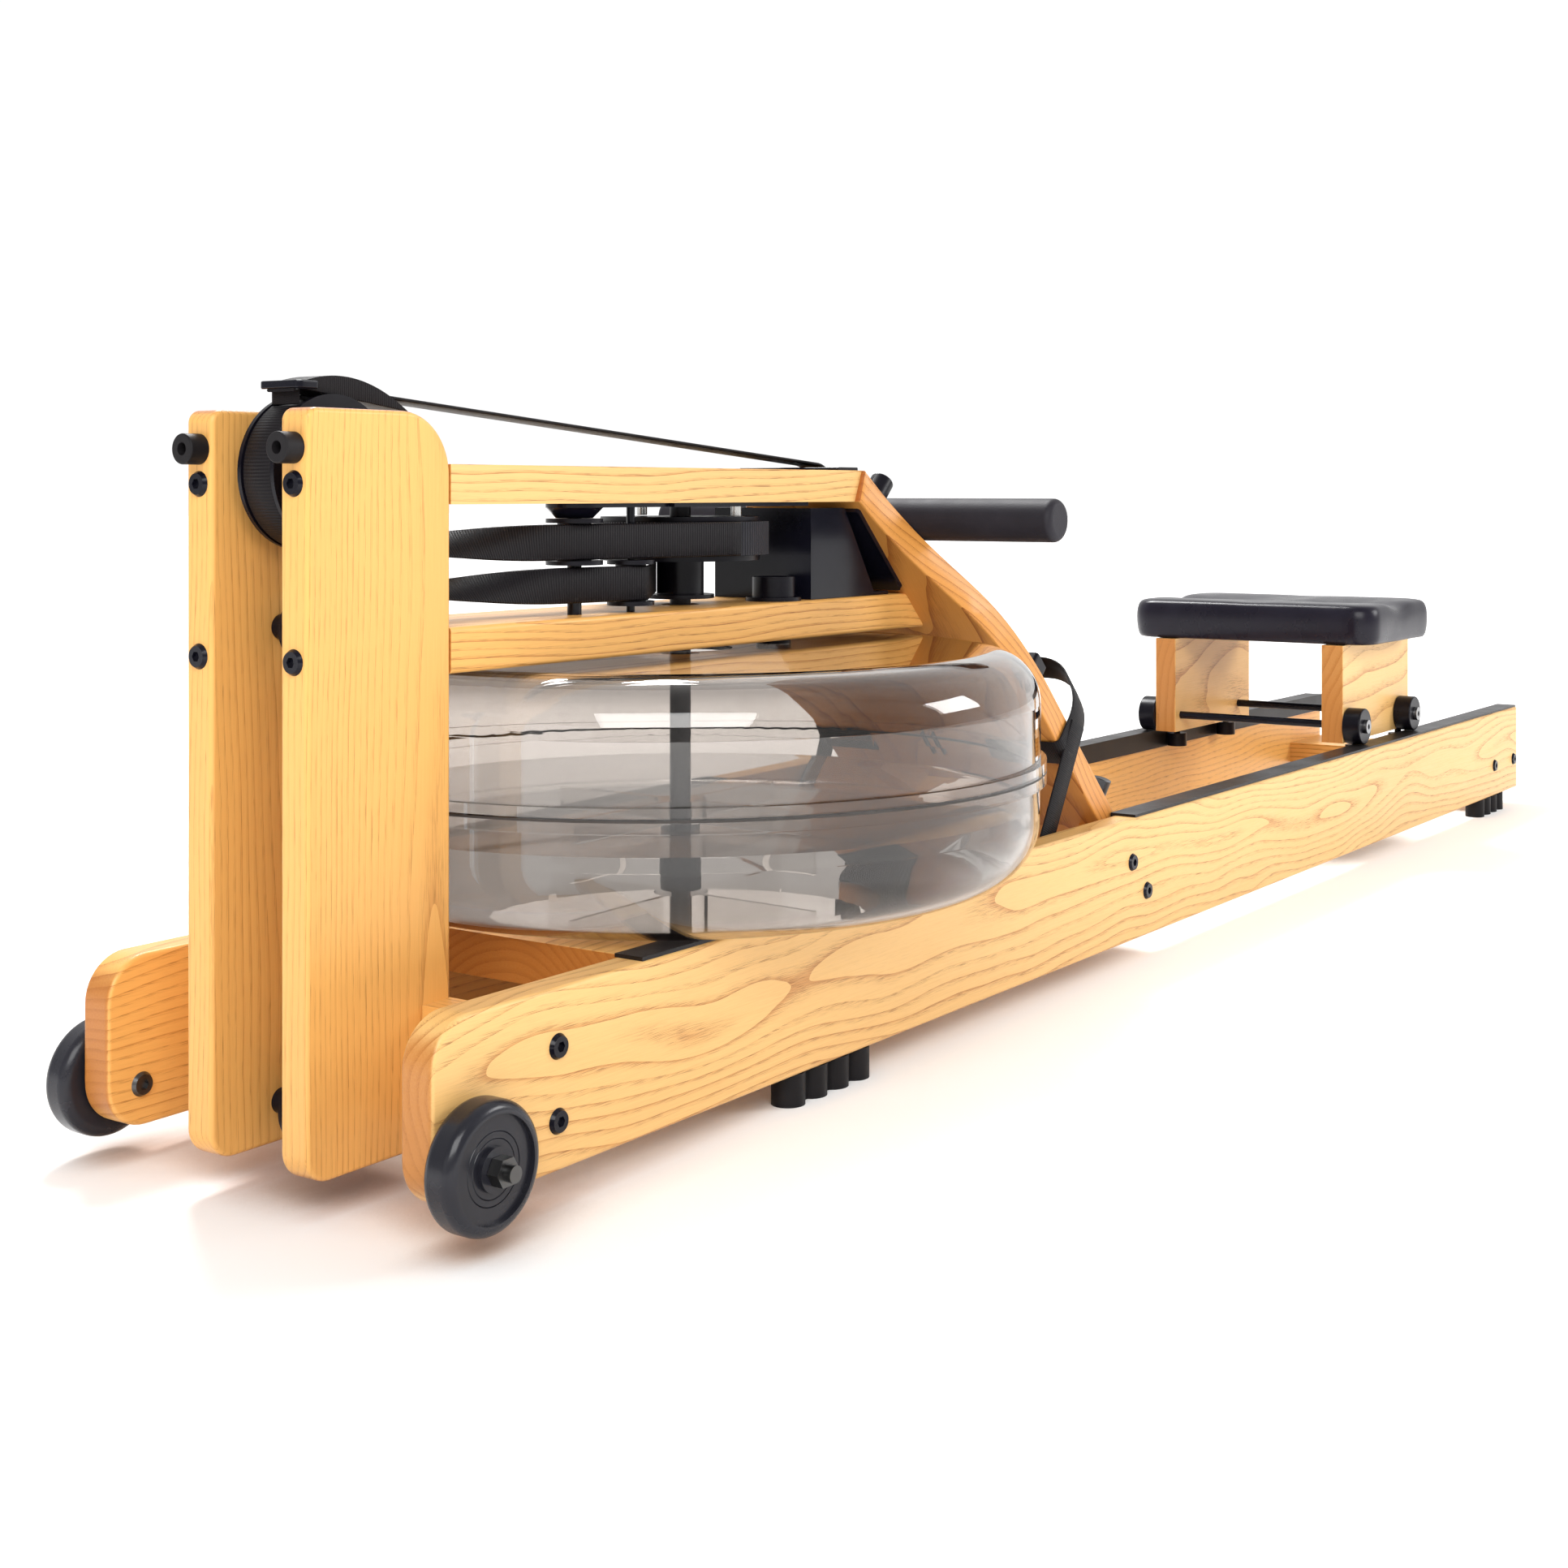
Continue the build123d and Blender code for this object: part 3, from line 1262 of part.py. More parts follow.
with BuildPart() as seat_axle_bolts:
    for x in seat_axle_xs:
        for side in (-1, 1):
            bolt_in = seat_wheel_out + free_gap
            cross_rod(x, seat_wheel_z, seat_bolt_radius, side * bolt_in, side * (bolt_in + seat_bolt_height))
            socket = (x, side * (bolt_in + seat_bolt_height), seat_wheel_z)
            with BuildSketch(Plane(origin=socket, x_dir=(1, 0, 0), z_dir=(0, side, 0))):
                RegularPolygon(bolt_socket_radius, 6)
            extrude(amount=-bolt_socket_depth, mode=Mode.SUBTRACT)
save(seat_axle_bolts, "seat_axle_bolts")


def make_seat_wheel(x, side):
    """Plain plastic wheel that rolls on a track."""
    with BuildPart() as wheel:
        cross_rod(x, seat_wheel_z, seat_wheel_radius, side * seat_wheel_in, side * seat_wheel_out)
        fillet(wheel.edges().filter_by(GeomType.CIRCLE), edge_round / 2)
        bore = seat_axle_radius + running_fit
        cross_rod(x, seat_wheel_z, bore, side * seat_wheel_in, side * seat_wheel_out, Mode.SUBTRACT)
    return wheel


for x, place in zip(seat_axle_xs, ("front", "rear")):
    for side, word in ((-1, "left"), (1, "right")):
        save(make_seat_wheel(x, side), f"{place}_{word}_seat_wheel")

# Side guides under the blocks, which keep the seat between the tracks' lips
with BuildPart() as side_guides:
    guide_mid = rail_in - track_lip_thickness - slide_gap * 2 - side_guide_radius
    guide_top = block_bottom - side_guide_drop
    for x in (seat_x + side_guide_front, seat_x + side_guide_front + side_guide_spacing):
        for side in (-1, 1):
            upright(x, side * guide_mid, side_guide_radius, guide_top - side_guide_height, guide_top)
            upright(x, side * guide_mid, side_guide_stem_radius, guide_top, block_bottom)
save(side_guides, "side_guides")

# Seat pad: a moulded cushion with drawn-in sides and a hollow for each thigh
with BuildPart() as seat_pad:
    pad_x = seat_x + block_length / 2 - (block_length - pad_depth) / 2
    pad_levels = (
        (block_top, pad_draw_in),
        (block_top + pad_height * 0.3, 0),
        (block_top + pad_height * 0.7, 0),
        (block_top + pad_height * 0.92, pad_top_draw_in * 0.4),
        (block_top + pad_height, pad_top_draw_in),
    )
    for level, inset in pad_levels:
        with BuildSketch(Plane.XY.offset(level)):
            with Locations((pad_x, 0)):
                RectangleRounded(pad_depth - 2 * inset, pad_width - 2 * inset, pad_corner_radius - inset)
    loft(ruled=True)
    scoop_z = block_top + pad_height - pad_scoop_depth + pad_scoop_radius
    for side in (-1, 1):
        with Locations((pad_x, side * pad_scoop_offset, scoop_z)):
            Sphere(pad_scoop_radius, mode=Mode.SUBTRACT)
save(seat_pad, "seat_pad")
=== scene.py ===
from math import atan2, cos, hypot, pi, radians, sin, tan

import bmesh
import bpy
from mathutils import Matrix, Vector


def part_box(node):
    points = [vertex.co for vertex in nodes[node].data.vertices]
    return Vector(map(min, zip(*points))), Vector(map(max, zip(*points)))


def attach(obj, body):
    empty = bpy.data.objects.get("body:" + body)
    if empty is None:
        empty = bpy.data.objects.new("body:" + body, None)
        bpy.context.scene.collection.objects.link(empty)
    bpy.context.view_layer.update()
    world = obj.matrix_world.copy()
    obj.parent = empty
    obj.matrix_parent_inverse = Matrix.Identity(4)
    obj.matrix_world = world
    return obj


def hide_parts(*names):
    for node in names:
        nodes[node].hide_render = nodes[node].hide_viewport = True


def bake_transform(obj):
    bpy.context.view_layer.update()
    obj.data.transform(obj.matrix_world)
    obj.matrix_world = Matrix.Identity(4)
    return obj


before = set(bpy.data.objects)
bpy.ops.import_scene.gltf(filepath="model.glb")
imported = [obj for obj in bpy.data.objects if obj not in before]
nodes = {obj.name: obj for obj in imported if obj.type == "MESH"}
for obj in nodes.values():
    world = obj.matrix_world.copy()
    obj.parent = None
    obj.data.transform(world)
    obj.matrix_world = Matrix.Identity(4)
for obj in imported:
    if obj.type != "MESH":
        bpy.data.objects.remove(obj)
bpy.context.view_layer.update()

scene = bpy.context.scene

# Camera: level, at the photograph's place beside the front left corner.
# The lens looks along the rails at about 34 degrees, and is shifted down to keep the posts upright.
camera_data = bpy.data.cameras.new("camera")
camera_data.sensor_width = 36
camera_data.lens = 48.163
camera_data.shift_x = -0.0435
camera_data.shift_y = -0.186
camera_data.clip_end = 100
camera = bpy.data.objects.new("camera", camera_data)
camera.location = (-1.885, -1.0011, 0.4316)
camera.rotation_euler = (radians(90), 0, radians(-56.35))
scene.collection.objects.link(camera)
scene.camera = camera
scene.view_settings.view_transform = "Standard"

# Studio: a pale floor that glows a little away from the machine and has a painted contact shadow where the
# front stands on it.
# The surround is bright behind the machine and dimmer behind the camera. Of the soft boxes, the widest is
# over the camera and shows as a bright strip on the tank's shoulder.
floor_half = 30
floor_corners = [(x * floor_half, y * floor_half, 0) for x, y in ((-1, -1), (1, -1), (1, 1), (-1, 1))]
floor_mesh = bpy.data.meshes.new("floor")
floor_mesh.from_pydata(floor_corners, [], [(0, 1, 2, 3)])
floor = bpy.data.objects.new("floor", floor_mesh)
scene.collection.objects.link(floor)


class Graph:
    """Short calls for building node trees."""

    def __init__(self, tree):
        self.tree = tree

    def node(self, kind, **settings):
        made = self.tree.nodes.new(kind)
        for key, value in settings.items():
            setattr(made, key, value)
        return made

    def join(self, source, target):
        if isinstance(source, (int, float, tuple)):
            target.default_value = source
        else:
            self.tree.links.new(source, target)

    def math(self, operation, a, b=0.0):
        made = self.node("ShaderNodeMath", operation=operation)
        self.join(a, made.inputs[0])
        self.join(b, made.inputs[1])
        return made.outputs[0]

    def scaled(self, vector, x, y, z):
        made = self.node("ShaderNodeVectorMath", operation="MULTIPLY")
        self.join(vector, made.inputs[0])
        made.inputs[1].default_value = (x, y, z)
        return made.outputs[0]

    def noise(self, vector, scale=1.0, detail=2.0, roughness=0.5):
        made = self.node("ShaderNodeTexNoise")
        self.join(vector, made.inputs["Vector"])
        made.inputs["Scale"].default_value = scale
        made.inputs["Detail"].default_value = detail
        made.inputs["Roughness"].default_value = roughness
        return made.outputs[0]

    def ramp(self, factor, *stops, curve="SMOOTHSTEP"):
        made = self.node("ShaderNodeMapRange", interpolation_type=curve)
        self.join(factor, made.inputs["Value"])
        for name, value in zip(("From Min", "From Max", "To Min", "To Max"), stops):
            made.inputs[name].default_value = value
        return made.outputs["Result"]

    def mix(self, factor, a, b, blend="MIX"):
        made = self.node("ShaderNodeMix", data_type="RGBA", blend_type=blend)
        self.join(factor, made.inputs[0])
        self.join(a, made.inputs[6])
        self.join(b, made.inputs[7])
        return made.outputs[2]


pale_floor = (0.965, 0.96, 0.955, 1)
shaded_floor = (0.40, 0.24, 0.15, 1)
contact_reach = 0.08
floor_material = bpy.data.materials.new("floor")
floor_material.use_nodes = True
floor_shader = floor_material.node_tree.nodes["Principled BSDF"]
floor_shader.inputs["Roughness"].default_value = 0.6
floor_shader.inputs["Specular IOR Level"].default_value = 0.1
floor_shader.inputs["Emission Color"].default_value = (1, 0.99, 0.98, 1)
g = Graph(floor_material.node_tree)
floor_spot = g.node("ShaderNodeTexCoord").outputs["Object"]
floor_distance = g.node("ShaderNodeVectorMath", operation="LENGTH")
g.join(g.scaled(floor_spot, 0.62, 1.1, 0), floor_distance.inputs[0])
floor_glow = g.ramp(floor_distance.outputs["Value"], 0.75, 2.4, 0.05, 0.75)
g.join(floor_glow, floor_shader.inputs["Emission Strength"])
# Painted contact shadow: near the front, the floor's colour turns brown where ambient occlusion finds the
# machine close by.
floor_contact = g.node("ShaderNodeAmbientOcclusion")
floor_contact.inputs["Distance"].default_value = contact_reach
floor_sides = g.node("ShaderNodeSeparateXYZ")
g.join(floor_spot, floor_sides.inputs[0])
under_front = g.ramp(floor_sides.outputs["X"], -0.70, -0.92, 0.0, 1.0, curve="LINEAR")
painted_contact_shadow = g.math("MULTIPLY", under_front, g.ramp(floor_contact.outputs["AO"], 0.25, 0.82, 1.0, 0.0))
g.join(g.mix(painted_contact_shadow, pale_floor, shaded_floor), floor_shader.inputs["Base Color"])
floor_mesh.materials.append(floor_material)
world = bpy.data.worlds.new("surround")
world.use_nodes = True
g = Graph(world.node_tree)
facing = g.node("ShaderNodeVectorMath", operation="DOT_PRODUCT")
facing.inputs[1].default_value = (0.832, 0.554, -0.12)
g.join(g.node("ShaderNodeTexCoord").outputs["Generated"], facing.inputs[0])
surround = world.node_tree.nodes["Background"]
surround.inputs["Color"].default_value = (1, 1, 1, 1)
g.join(g.ramp(facing.outputs["Value"], -0.35, 0.55, 0.40, 1.03), surround.inputs["Strength"])
scene.world = world


def soft_light(name, place, target, width, height, power):
    data = bpy.data.lights.new(name, "AREA")
    data.shape = "RECTANGLE"
    data.size = width
    data.size_y = height
    data.energy = power
    light = bpy.data.objects.new(name, data)
    light.location = place
    light.rotation_euler = (Vector(target) - Vector(place)).to_track_quat("-Z", "Y").to_euler()
    scene.collection.objects.link(light)


soft_light("key_box", (-3.45, -2.15, 2.6), (-0.5, 0, 0.25), 3.2, 2.0, 142)
soft_light("front_box", (-4.6, 0.2, 1.0), (-0.8, 0, 0.3), 2.4, 1.5, 7)
soft_light("rear_box", (2.2, -2.9, 1.8), (0.1, 0, 0.2), 1.4, 1.2, 57)
soft_light("top_box", (0.7, 1.7, 3.1), (-0.5, -0.1, 0), 1.1, 0.9, 140)


# Wooden frame: ash boards under clear oil, with rings, open pores along the grain and a slow change of tone.
# One node group makes the figure from a distance to each board's pith, so end grain shows the same rings.
def put_material(node_name, material):
    mesh = nodes[node_name].data
    if not mesh.materials:
        mesh.materials.append(material)
    for slot in nodes[node_name].material_slots:
        slot.material = material


def ease_edges(node_name, width):
    weld = nodes[node_name].modifiers.new("weld", "WELD")
    weld.merge_threshold = 0.00002
    bevel = nodes[node_name].modifiers.new("bevel", "BEVEL")
    bevel.affect = "EDGES"
    bevel.width = width
    bevel.segments = 2
    bevel.profile = 0.5
    bevel.material = -1
    bevel.limit_method = "ANGLE"
    bevel.angle_limit = radians(40)
    bevel.harden_normals = False


light_ash = (0.80, 0.425, 0.118, 1)
deep_ash = (0.45, 0.16, 0.03, 1)
wood_group = bpy.data.node_groups.new("ash", "ShaderNodeTree")
face = wood_group.interface
face.new_socket("Vector", in_out="INPUT", socket_type="NodeSocketVector")
face.new_socket("Ring Count", in_out="INPUT", socket_type="NodeSocketFloat").default_value = 150
face.new_socket("Light", in_out="INPUT", socket_type="NodeSocketColor").default_value = light_ash
face.new_socket("Deep", in_out="INPUT", socket_type="NodeSocketColor").default_value = deep_ash
face.new_socket("Wander", in_out="INPUT", socket_type="NodeSocketFloat").default_value = 0.05
face.new_socket("Contrast", in_out="INPUT", socket_type="NodeSocketFloat").default_value = 1
face.new_socket("Pores", in_out="INPUT", socket_type="NodeSocketFloat").default_value = 0.6
face.new_socket("End", in_out="INPUT", socket_type="NodeSocketFloat").default_value = 0
face.new_socket("Color", in_out="OUTPUT", socket_type="NodeSocketColor")
face.new_socket("Roughness", in_out="OUTPUT", socket_type="NodeSocketFloat")
face.new_socket("Height", in_out="OUTPUT", socket_type="NodeSocketFloat")


g = Graph(wood_group)
entry = g.node("NodeGroupInput")
leave = g.node("NodeGroupOutput")
grain = entry.outputs["Vector"]
drift_y = g.math("SUBTRACT", g.noise(g.scaled(grain, 1.6, 3.0, 3.0), 1.0, 2.0), 0.5)
drift_z = g.math("SUBTRACT", g.noise(g.scaled(grain, 1.9, 4.0, 4.0), 1.3, 2.0), 0.5)
parts = g.node("ShaderNodeSeparateXYZ")
g.join(grain, parts.inputs[0])
across_y = g.math("ADD", parts.outputs[1], g.math("MULTIPLY", drift_y, entry.outputs["Wander"]))
across_z = g.math("ADD", parts.outputs[2], g.math("MULTIPLY", drift_z, entry.outputs["Wander"]))
pith_squared = g.math("ADD", g.math("POWER", across_y, 2.0), g.math("POWER", across_z, 2.0))
pith_distance = g.math("SQRT", pith_squared)
ripple = g.math("MULTIPLY", g.noise(g.scaled(grain, 9.0, 40.0, 40.0), 1.0, 2.0), 0.35)
rings = g.math("ADD", g.math("MULTIPLY", pith_distance, entry.outputs["Ring Count"]), ripple)
growth = g.math("FRACT", rings)
year = g.node("ShaderNodeTexWhiteNoise", noise_dimensions="1D")
g.join(g.math("FLOOR", rings), year.inputs["W"])
strength = g.ramp(year.outputs["Value"], 0.0, 1.0, 0.45, 1.0)
spring = g.math("MULTIPLY", g.ramp(growth, 0.0, 0.55, 1.0, 0.0), strength)
line = g.math("MULTIPLY", g.ramp(growth, 0.0, 0.16, 1.0, 0.0), strength)
fibre = g.noise(g.scaled(grain, 14.0, 900.0, 900.0), 1.0, 2.0)
pore_noise = g.noise(g.scaled(grain, 60.0, 3600.0, 3600.0), 1.0, 1.0)
pores = g.math("MULTIPLY", g.ramp(pore_noise, 0.53, 0.64, 0.0, 1.0), g.ramp(growth, 0.05, 0.50, 1.0, 0.12))
tone = g.noise(g.scaled(grain, 0.9, 7.0, 7.0), 1.0, 2.0)
deepness = g.math("ADD", g.math("MULTIPLY", spring, 0.42), g.math("MULTIPLY", line, 0.50))
deepness = g.math("MULTIPLY", deepness, entry.outputs["Contrast"])
deepness = g.math("ADD", deepness, g.math("MULTIPLY", entry.outputs["End"], 1.0))
deepness = g.math("ADD", deepness, g.math("MULTIPLY", g.math("SUBTRACT", tone, 0.5), 0.70))
deepness = g.math("ADD", deepness, g.math("MULTIPLY", g.math("SUBTRACT", fibre, 0.5), 0.40))
wood_colour = g.mix(g.ramp(deepness, -0.2, 1.2, 0.0, 1.0), entry.outputs["Light"], entry.outputs["Deep"])
wood_colour = g.mix(g.math("MULTIPLY", pores, entry.outputs["Pores"]), wood_colour, (0.17, 0.052, 0.010, 1))
g.join(wood_colour, leave.inputs["Color"])
g.join(g.ramp(g.math("ADD", pores, fibre), 0.2, 1.4, 0.34, 0.52), leave.inputs["Roughness"])
g.join(g.math("SUBTRACT", 1.0, pores), leave.inputs["Height"])


def ash(
    name, turn, pith, ring_count=150, light=light_ash, deep=deep_ash, wander=0.05, contrast=1.0, pores=0.62,
):
    """Ash whose grain runs along the row frame's X after that turn, with its pith at that place."""
    material = bpy.data.materials.new(name)
    material.use_nodes = True
    graph = Graph(material.node_tree)
    shader = material.node_tree.nodes["Principled BSDF"]
    coordinates = graph.node("ShaderNodeTexCoord")
    mapping = graph.node("ShaderNodeMapping")
    mapping.inputs["Rotation"].default_value = tuple(radians(angle) for angle in turn)
    mapping.inputs["Location"].default_value = pith
    graph.join(coordinates.outputs["Object"], mapping.inputs["Vector"])
    turned = graph.node("ShaderNodeMapping", vector_type="VECTOR")
    turned.inputs["Rotation"].default_value = tuple(radians(angle) for angle in turn)
    graph.join(coordinates.outputs["Normal"], turned.inputs["Vector"])
    facing_end = graph.node("ShaderNodeSeparateXYZ")
    graph.join(turned.outputs[0], facing_end.inputs[0])
    end_grain = graph.ramp(graph.math("ABSOLUTE", facing_end.outputs[0]), 0.55, 0.98, 0.0, 1.0)
    figure = graph.node("ShaderNodeGroup", node_tree=wood_group)
    graph.join(mapping.outputs[0], figure.inputs["Vector"])
    figure.inputs["Ring Count"].default_value = ring_count
    figure.inputs["Light"].default_value = light
    figure.inputs["Deep"].default_value = deep
    figure.inputs["Wander"].default_value = wander
    figure.inputs["Contrast"].default_value = contrast
    figure.inputs["Pores"].default_value = pores
    graph.join(end_grain, figure.inputs["End"])
    graph.join(figure.outputs["Color"], shader.inputs["Base Color"])
    graph.join(figure.outputs["Roughness"], shader.inputs["Roughness"])
    bump = graph.node("ShaderNodeBump")
    bump.inputs["Strength"].default_value = 0.18
    bump.inputs["Distance"].default_value = 0.0004
    graph.join(figure.outputs["Height"], bump.inputs["Height"])
    graph.join(bump.outputs[0], shader.inputs["Normal"])
    shader.inputs["Specular IOR Level"].default_value = 0.3
    shader.inputs["Coat Weight"].default_value = 0.06
    shader.inputs["Coat Roughness"].default_value = 0.25
    return material


along_x = (0, 0, 0)
along_y = (0, 0, -90)
along_z = (0, 90, 0)
up_the_slope = (0, 135, 0)
pale = (0.80, 0.49, 0.18, 1)
pale_deep = (0.50, 0.20, 0.045, 1)
put_material("left_rail", ash(
    "ash_left_rail", along_x, (0.3, 0.172, -0.088), 125, pale, pale_deep, 0.105, 0.78,
))
put_material("right_rail", ash(
    "ash_right_rail", along_x, (2.1, -0.215, -0.30), 150, wander=0.07, contrast=0.7,
))
for post, pith in (("left_post", (4.2, 0.13, -0.93)), ("right_post", (1.4, -0.12, -0.95))):
    put_material(post, ash(f"ash_{post}", along_z, pith, 330, wander=0.03, contrast=0.5, pores=0.42))
put_material("top_bars", ash("ash_top_bars", along_x, (6.1, 0.12, -0.36), 220, pale, pale_deep, 0.04))
put_material("drive_deck", ash("ash_drive_deck", along_x, (7.3, 0.02, -0.24), 190, wander=0.05))
# The footboard's ash is written darker than the other boards: painted shade for a board that stands in
# shade.
put_material("footboard", ash(
    "ash_footboard", up_the_slope, (9.1, 0.03, 0.40), 170,
    (0.66, 0.29, 0.065, 1), (0.36, 0.11, 0.02, 1), 0.06,
))
put_material("footboard_cleats", ash("ash_cleats", up_the_slope, (2.6, 0.05, 0.40), 170))
put_material("cross_boards", ash("ash_cross_boards", along_y, (3.3, 0.92, -0.03), 170))
put_material("tank_board", ash("ash_tank_board", along_x, (5.5, 0.03, -0.06), 150, wander=0.08))
for board in ("top_bars", "footboard", "footboard_cleats", "cross_boards", "tank_board"):
    ease_edges(board, 0.0018)

# Plastic, rubber and coated metal: black mouldings with a fine grain and a slow change of gloss.
# The grain comes from one node group, so all of them share it at their own depth and gloss.
grain_group = bpy.data.node_groups.new("fine_grain", "ShaderNodeTree")
face = grain_group.interface
face.new_socket("Vector", in_out="INPUT", socket_type="NodeSocketVector")
face.new_socket("Size", in_out="INPUT", socket_type="NodeSocketFloat").default_value = 1500
face.new_socket("Height", in_out="OUTPUT", socket_type="NodeSocketFloat")
face.new_socket("Wear", in_out="OUTPUT", socket_type="NodeSocketFloat")
g = Graph(grain_group)
entry = g.node("NodeGroupInput")
leave = g.node("NodeGroupOutput")
specks = g.node("ShaderNodeTexNoise")
g.join(entry.outputs["Vector"], specks.inputs["Vector"])
g.join(entry.outputs["Size"], specks.inputs["Scale"])
specks.inputs["Detail"].default_value = 1.0
g.join(specks.outputs[0], leave.inputs["Height"])
g.join(g.noise(entry.outputs["Vector"], 22.0, 4.0, 0.6), leave.inputs["Wear"])


def moulded(name, colour, roughness, depth, size=1500, metallic=0.0, specular=0.16):
    """Moulded or coated surface with a fine grain."""
    material = bpy.data.materials.new(name)
    material.use_nodes = True
    graph = Graph(material.node_tree)
    shader = material.node_tree.nodes["Principled BSDF"]
    place = graph.node("ShaderNodeTexCoord").outputs["Object"]
    texture = graph.node("ShaderNodeGroup", node_tree=grain_group)
    graph.join(place, texture.inputs["Vector"])
    texture.inputs["Size"].default_value = size
    worn = tuple(min(1.0, part * 1.3 + 0.0008) for part in colour)
    wear = graph.ramp(texture.outputs["Wear"], 0.35, 0.75, 0.0, 1.0)
    graph.join(graph.mix(wear, (*colour, 1), (*worn, 1)), shader.inputs["Base Color"])
    gloss = graph.ramp(texture.outputs["Wear"], 0.3, 0.7, roughness - 0.03, roughness + 0.05)
    graph.join(gloss, shader.inputs["Roughness"])
    bump = graph.node("ShaderNodeBump")
    bump.inputs["Strength"].default_value = 0.35
    bump.inputs["Distance"].default_value = depth
    graph.join(texture.outputs["Height"], bump.inputs["Height"])
    graph.join(bump.outputs[0], shader.inputs["Normal"])
    shader.inputs["Metallic"].default_value = metallic
    shader.inputs["Specular IOR Level"].default_value = specular
    return material


black_plastic = moulded("black_plastic", (0.0045, 0.004, 0.007), 0.30, 0.00006)
track_plastic = moulded("track_plastic", (0.012, 0.010, 0.010), 0.34, 0.00008, 900)
rubber = moulded("rubber", (0.009, 0.008, 0.009), 0.50, 0.0001, 1100)
black_metal = moulded("black_metal", (0.004, 0.004, 0.008), 0.20, 0.00003, 2200, 0.0, 0.22)
steel = moulded("turned_steel", (0.56, 0.55, 0.53), 0.24, 0.00002, 1800, 1.0, 0.5)
put_material("rail_strips", track_plastic)
put_material("rubber_feet", rubber)
put_material("frame_bolts", black_metal)
put_material("wheel_axles", moulded("dark_steel", (0.10, 0.10, 0.10), 0.30, 0.00003, 1800, 1.0, 0.5))
wheel_plastic = moulded("wheel_plastic", (0.014, 0.014, 0.019), 0.24, 0.00006, 900, 0.0, 0.32)
g = Graph(wheel_plastic.node_tree)
from_axle = g.node("ShaderNodeVectorMath", operation="SUBTRACT")
g.join(g.node("ShaderNodeTexCoord").outputs["Object"], from_axle.inputs[0])
from_axle.inputs[1].default_value = (-1.0125, 0, 0.05)
wheel_reach = g.node("ShaderNodeVectorMath", operation="LENGTH")
g.join(g.scaled(from_axle.outputs[0], 1, 0, 1), wheel_reach.inputs[0])
wheel_step = g.math("ADD", *(
    g.ramp(wheel_reach.outputs["Value"], radius, radius + 0.0010, 1.0, 0.0) for radius in (0.0165, 0.0205)
))
step_bump = g.node("ShaderNodeBump")
step_bump.inputs["Strength"].default_value = 0.9
step_bump.inputs["Distance"].default_value = 0.0012
g.join(wheel_step, step_bump.inputs["Height"])
wheel_shader = wheel_plastic.node_tree.nodes["Principled BSDF"]
g.join(wheel_shader.inputs["Normal"].links[0].from_socket, step_bump.inputs["Normal"])
g.join(step_bump.outputs[0], wheel_shader.inputs["Normal"])
for wheel in ("left_transport_wheel", "right_transport_wheel"):
    put_material(wheel, wheel_plastic)

# Water tank: two smoked clear shells joined along a flange, partly filled with water.
# The plastic lets shadow rays through with its tint, so the space inside stays light.
tank_x = -0.619


def clear(name, tint, shadow_tint, ior, roughness):
    material = bpy.data.materials.new(name)
    material.use_nodes = True
    graph = Graph(material.node_tree)
    shader = material.node_tree.nodes["Principled BSDF"]
    output = material.node_tree.nodes["Material Output"]
    scuffs = graph.noise(graph.node("ShaderNodeTexCoord").outputs["Object"], 9.0, 5.0, 0.65)
    graph.join(graph.ramp(scuffs, 0.45, 0.8, roughness, roughness + 0.05), shader.inputs["Roughness"])
    shader.inputs["Base Color"].default_value = tint
    shader.inputs["IOR"].default_value = ior
    shader.inputs["Transmission Weight"].default_value = 1.0
    through = graph.node("ShaderNodeBsdfTransparent")
    through.inputs["Color"].default_value = shadow_tint
    choose = graph.node("ShaderNodeMixShader")
    graph.join(graph.node("ShaderNodeLightPath").outputs["Is Shadow Ray"], choose.inputs[0])
    graph.join(shader.outputs[0], choose.inputs[1])
    graph.join(through.outputs[0], choose.inputs[2])
    graph.join(choose.outputs[0], output.inputs["Surface"])
    return material


smoked = clear("smoked_clear", (0.555, 0.525, 0.50, 1), (0.72, 0.695, 0.675, 1), 1.49, 0.0)
put_material("tank_lower_shell", smoked)
put_material("tank_upper_shell", smoked)
put_material("tank_gasket", moulded("gasket", (0.05, 0.045, 0.042), 0.5, 0.00005))
put_material("tank_plug", black_plastic)
put_material("paddle", clear("paddle_plastic", (0.88, 0.865, 0.85, 1), (0.90, 0.89, 0.88, 1), 1.09, 0.05))
put_material("paddle_shaft", moulded("shaft_coating", (0.05, 0.05, 0.055), 0.3, 0.00003))
put_material("shaft_bearings", black_plastic)

# The water fills the tank's lower third up to the wall, with a level top.
# It is one turned body: up the rounded base, across at the water line.
water_line = 0.1985
water_floor = 0.1413
water_edge = 0.2704
water_round = 0.047
water_outline = [(0.0, water_floor)]
for step in range(13):
    angle = -pi / 2 + step / 12 * pi / 2
    water_reach = water_edge - water_round + water_round * cos(angle)
    water_outline.append((water_reach, water_floor + water_round + water_round * sin(angle)))
water_outline += [(water_edge, water_line), (0.0, water_line)]
water_mesh = bpy.data.meshes.new("tank_water")
bm = bmesh.new()
ring_points = [bm.verts.new((tank_x + radius, 0, height)) for radius, height in water_outline]
ring_edges = [bm.edges.new(pair) for pair in zip(ring_points, ring_points[1:])]
bmesh.ops.spin(
    bm, geom=ring_points + ring_edges, cent=(tank_x, 0, 0), axis=(0, 0, 1),
    angle=2 * pi, steps=96, use_merge=True,
)
bmesh.ops.remove_doubles(bm, verts=bm.verts, dist=0.00001)
bmesh.ops.recalc_face_normals(bm, faces=bm.faces)
bm.to_mesh(water_mesh)
bm.free()
for polygon in water_mesh.polygons:
    polygon.use_smooth = abs(polygon.normal.z) < 0.999
tank_water = bpy.data.objects.new("tank_water", water_mesh)
scene.collection.objects.link(tank_water)
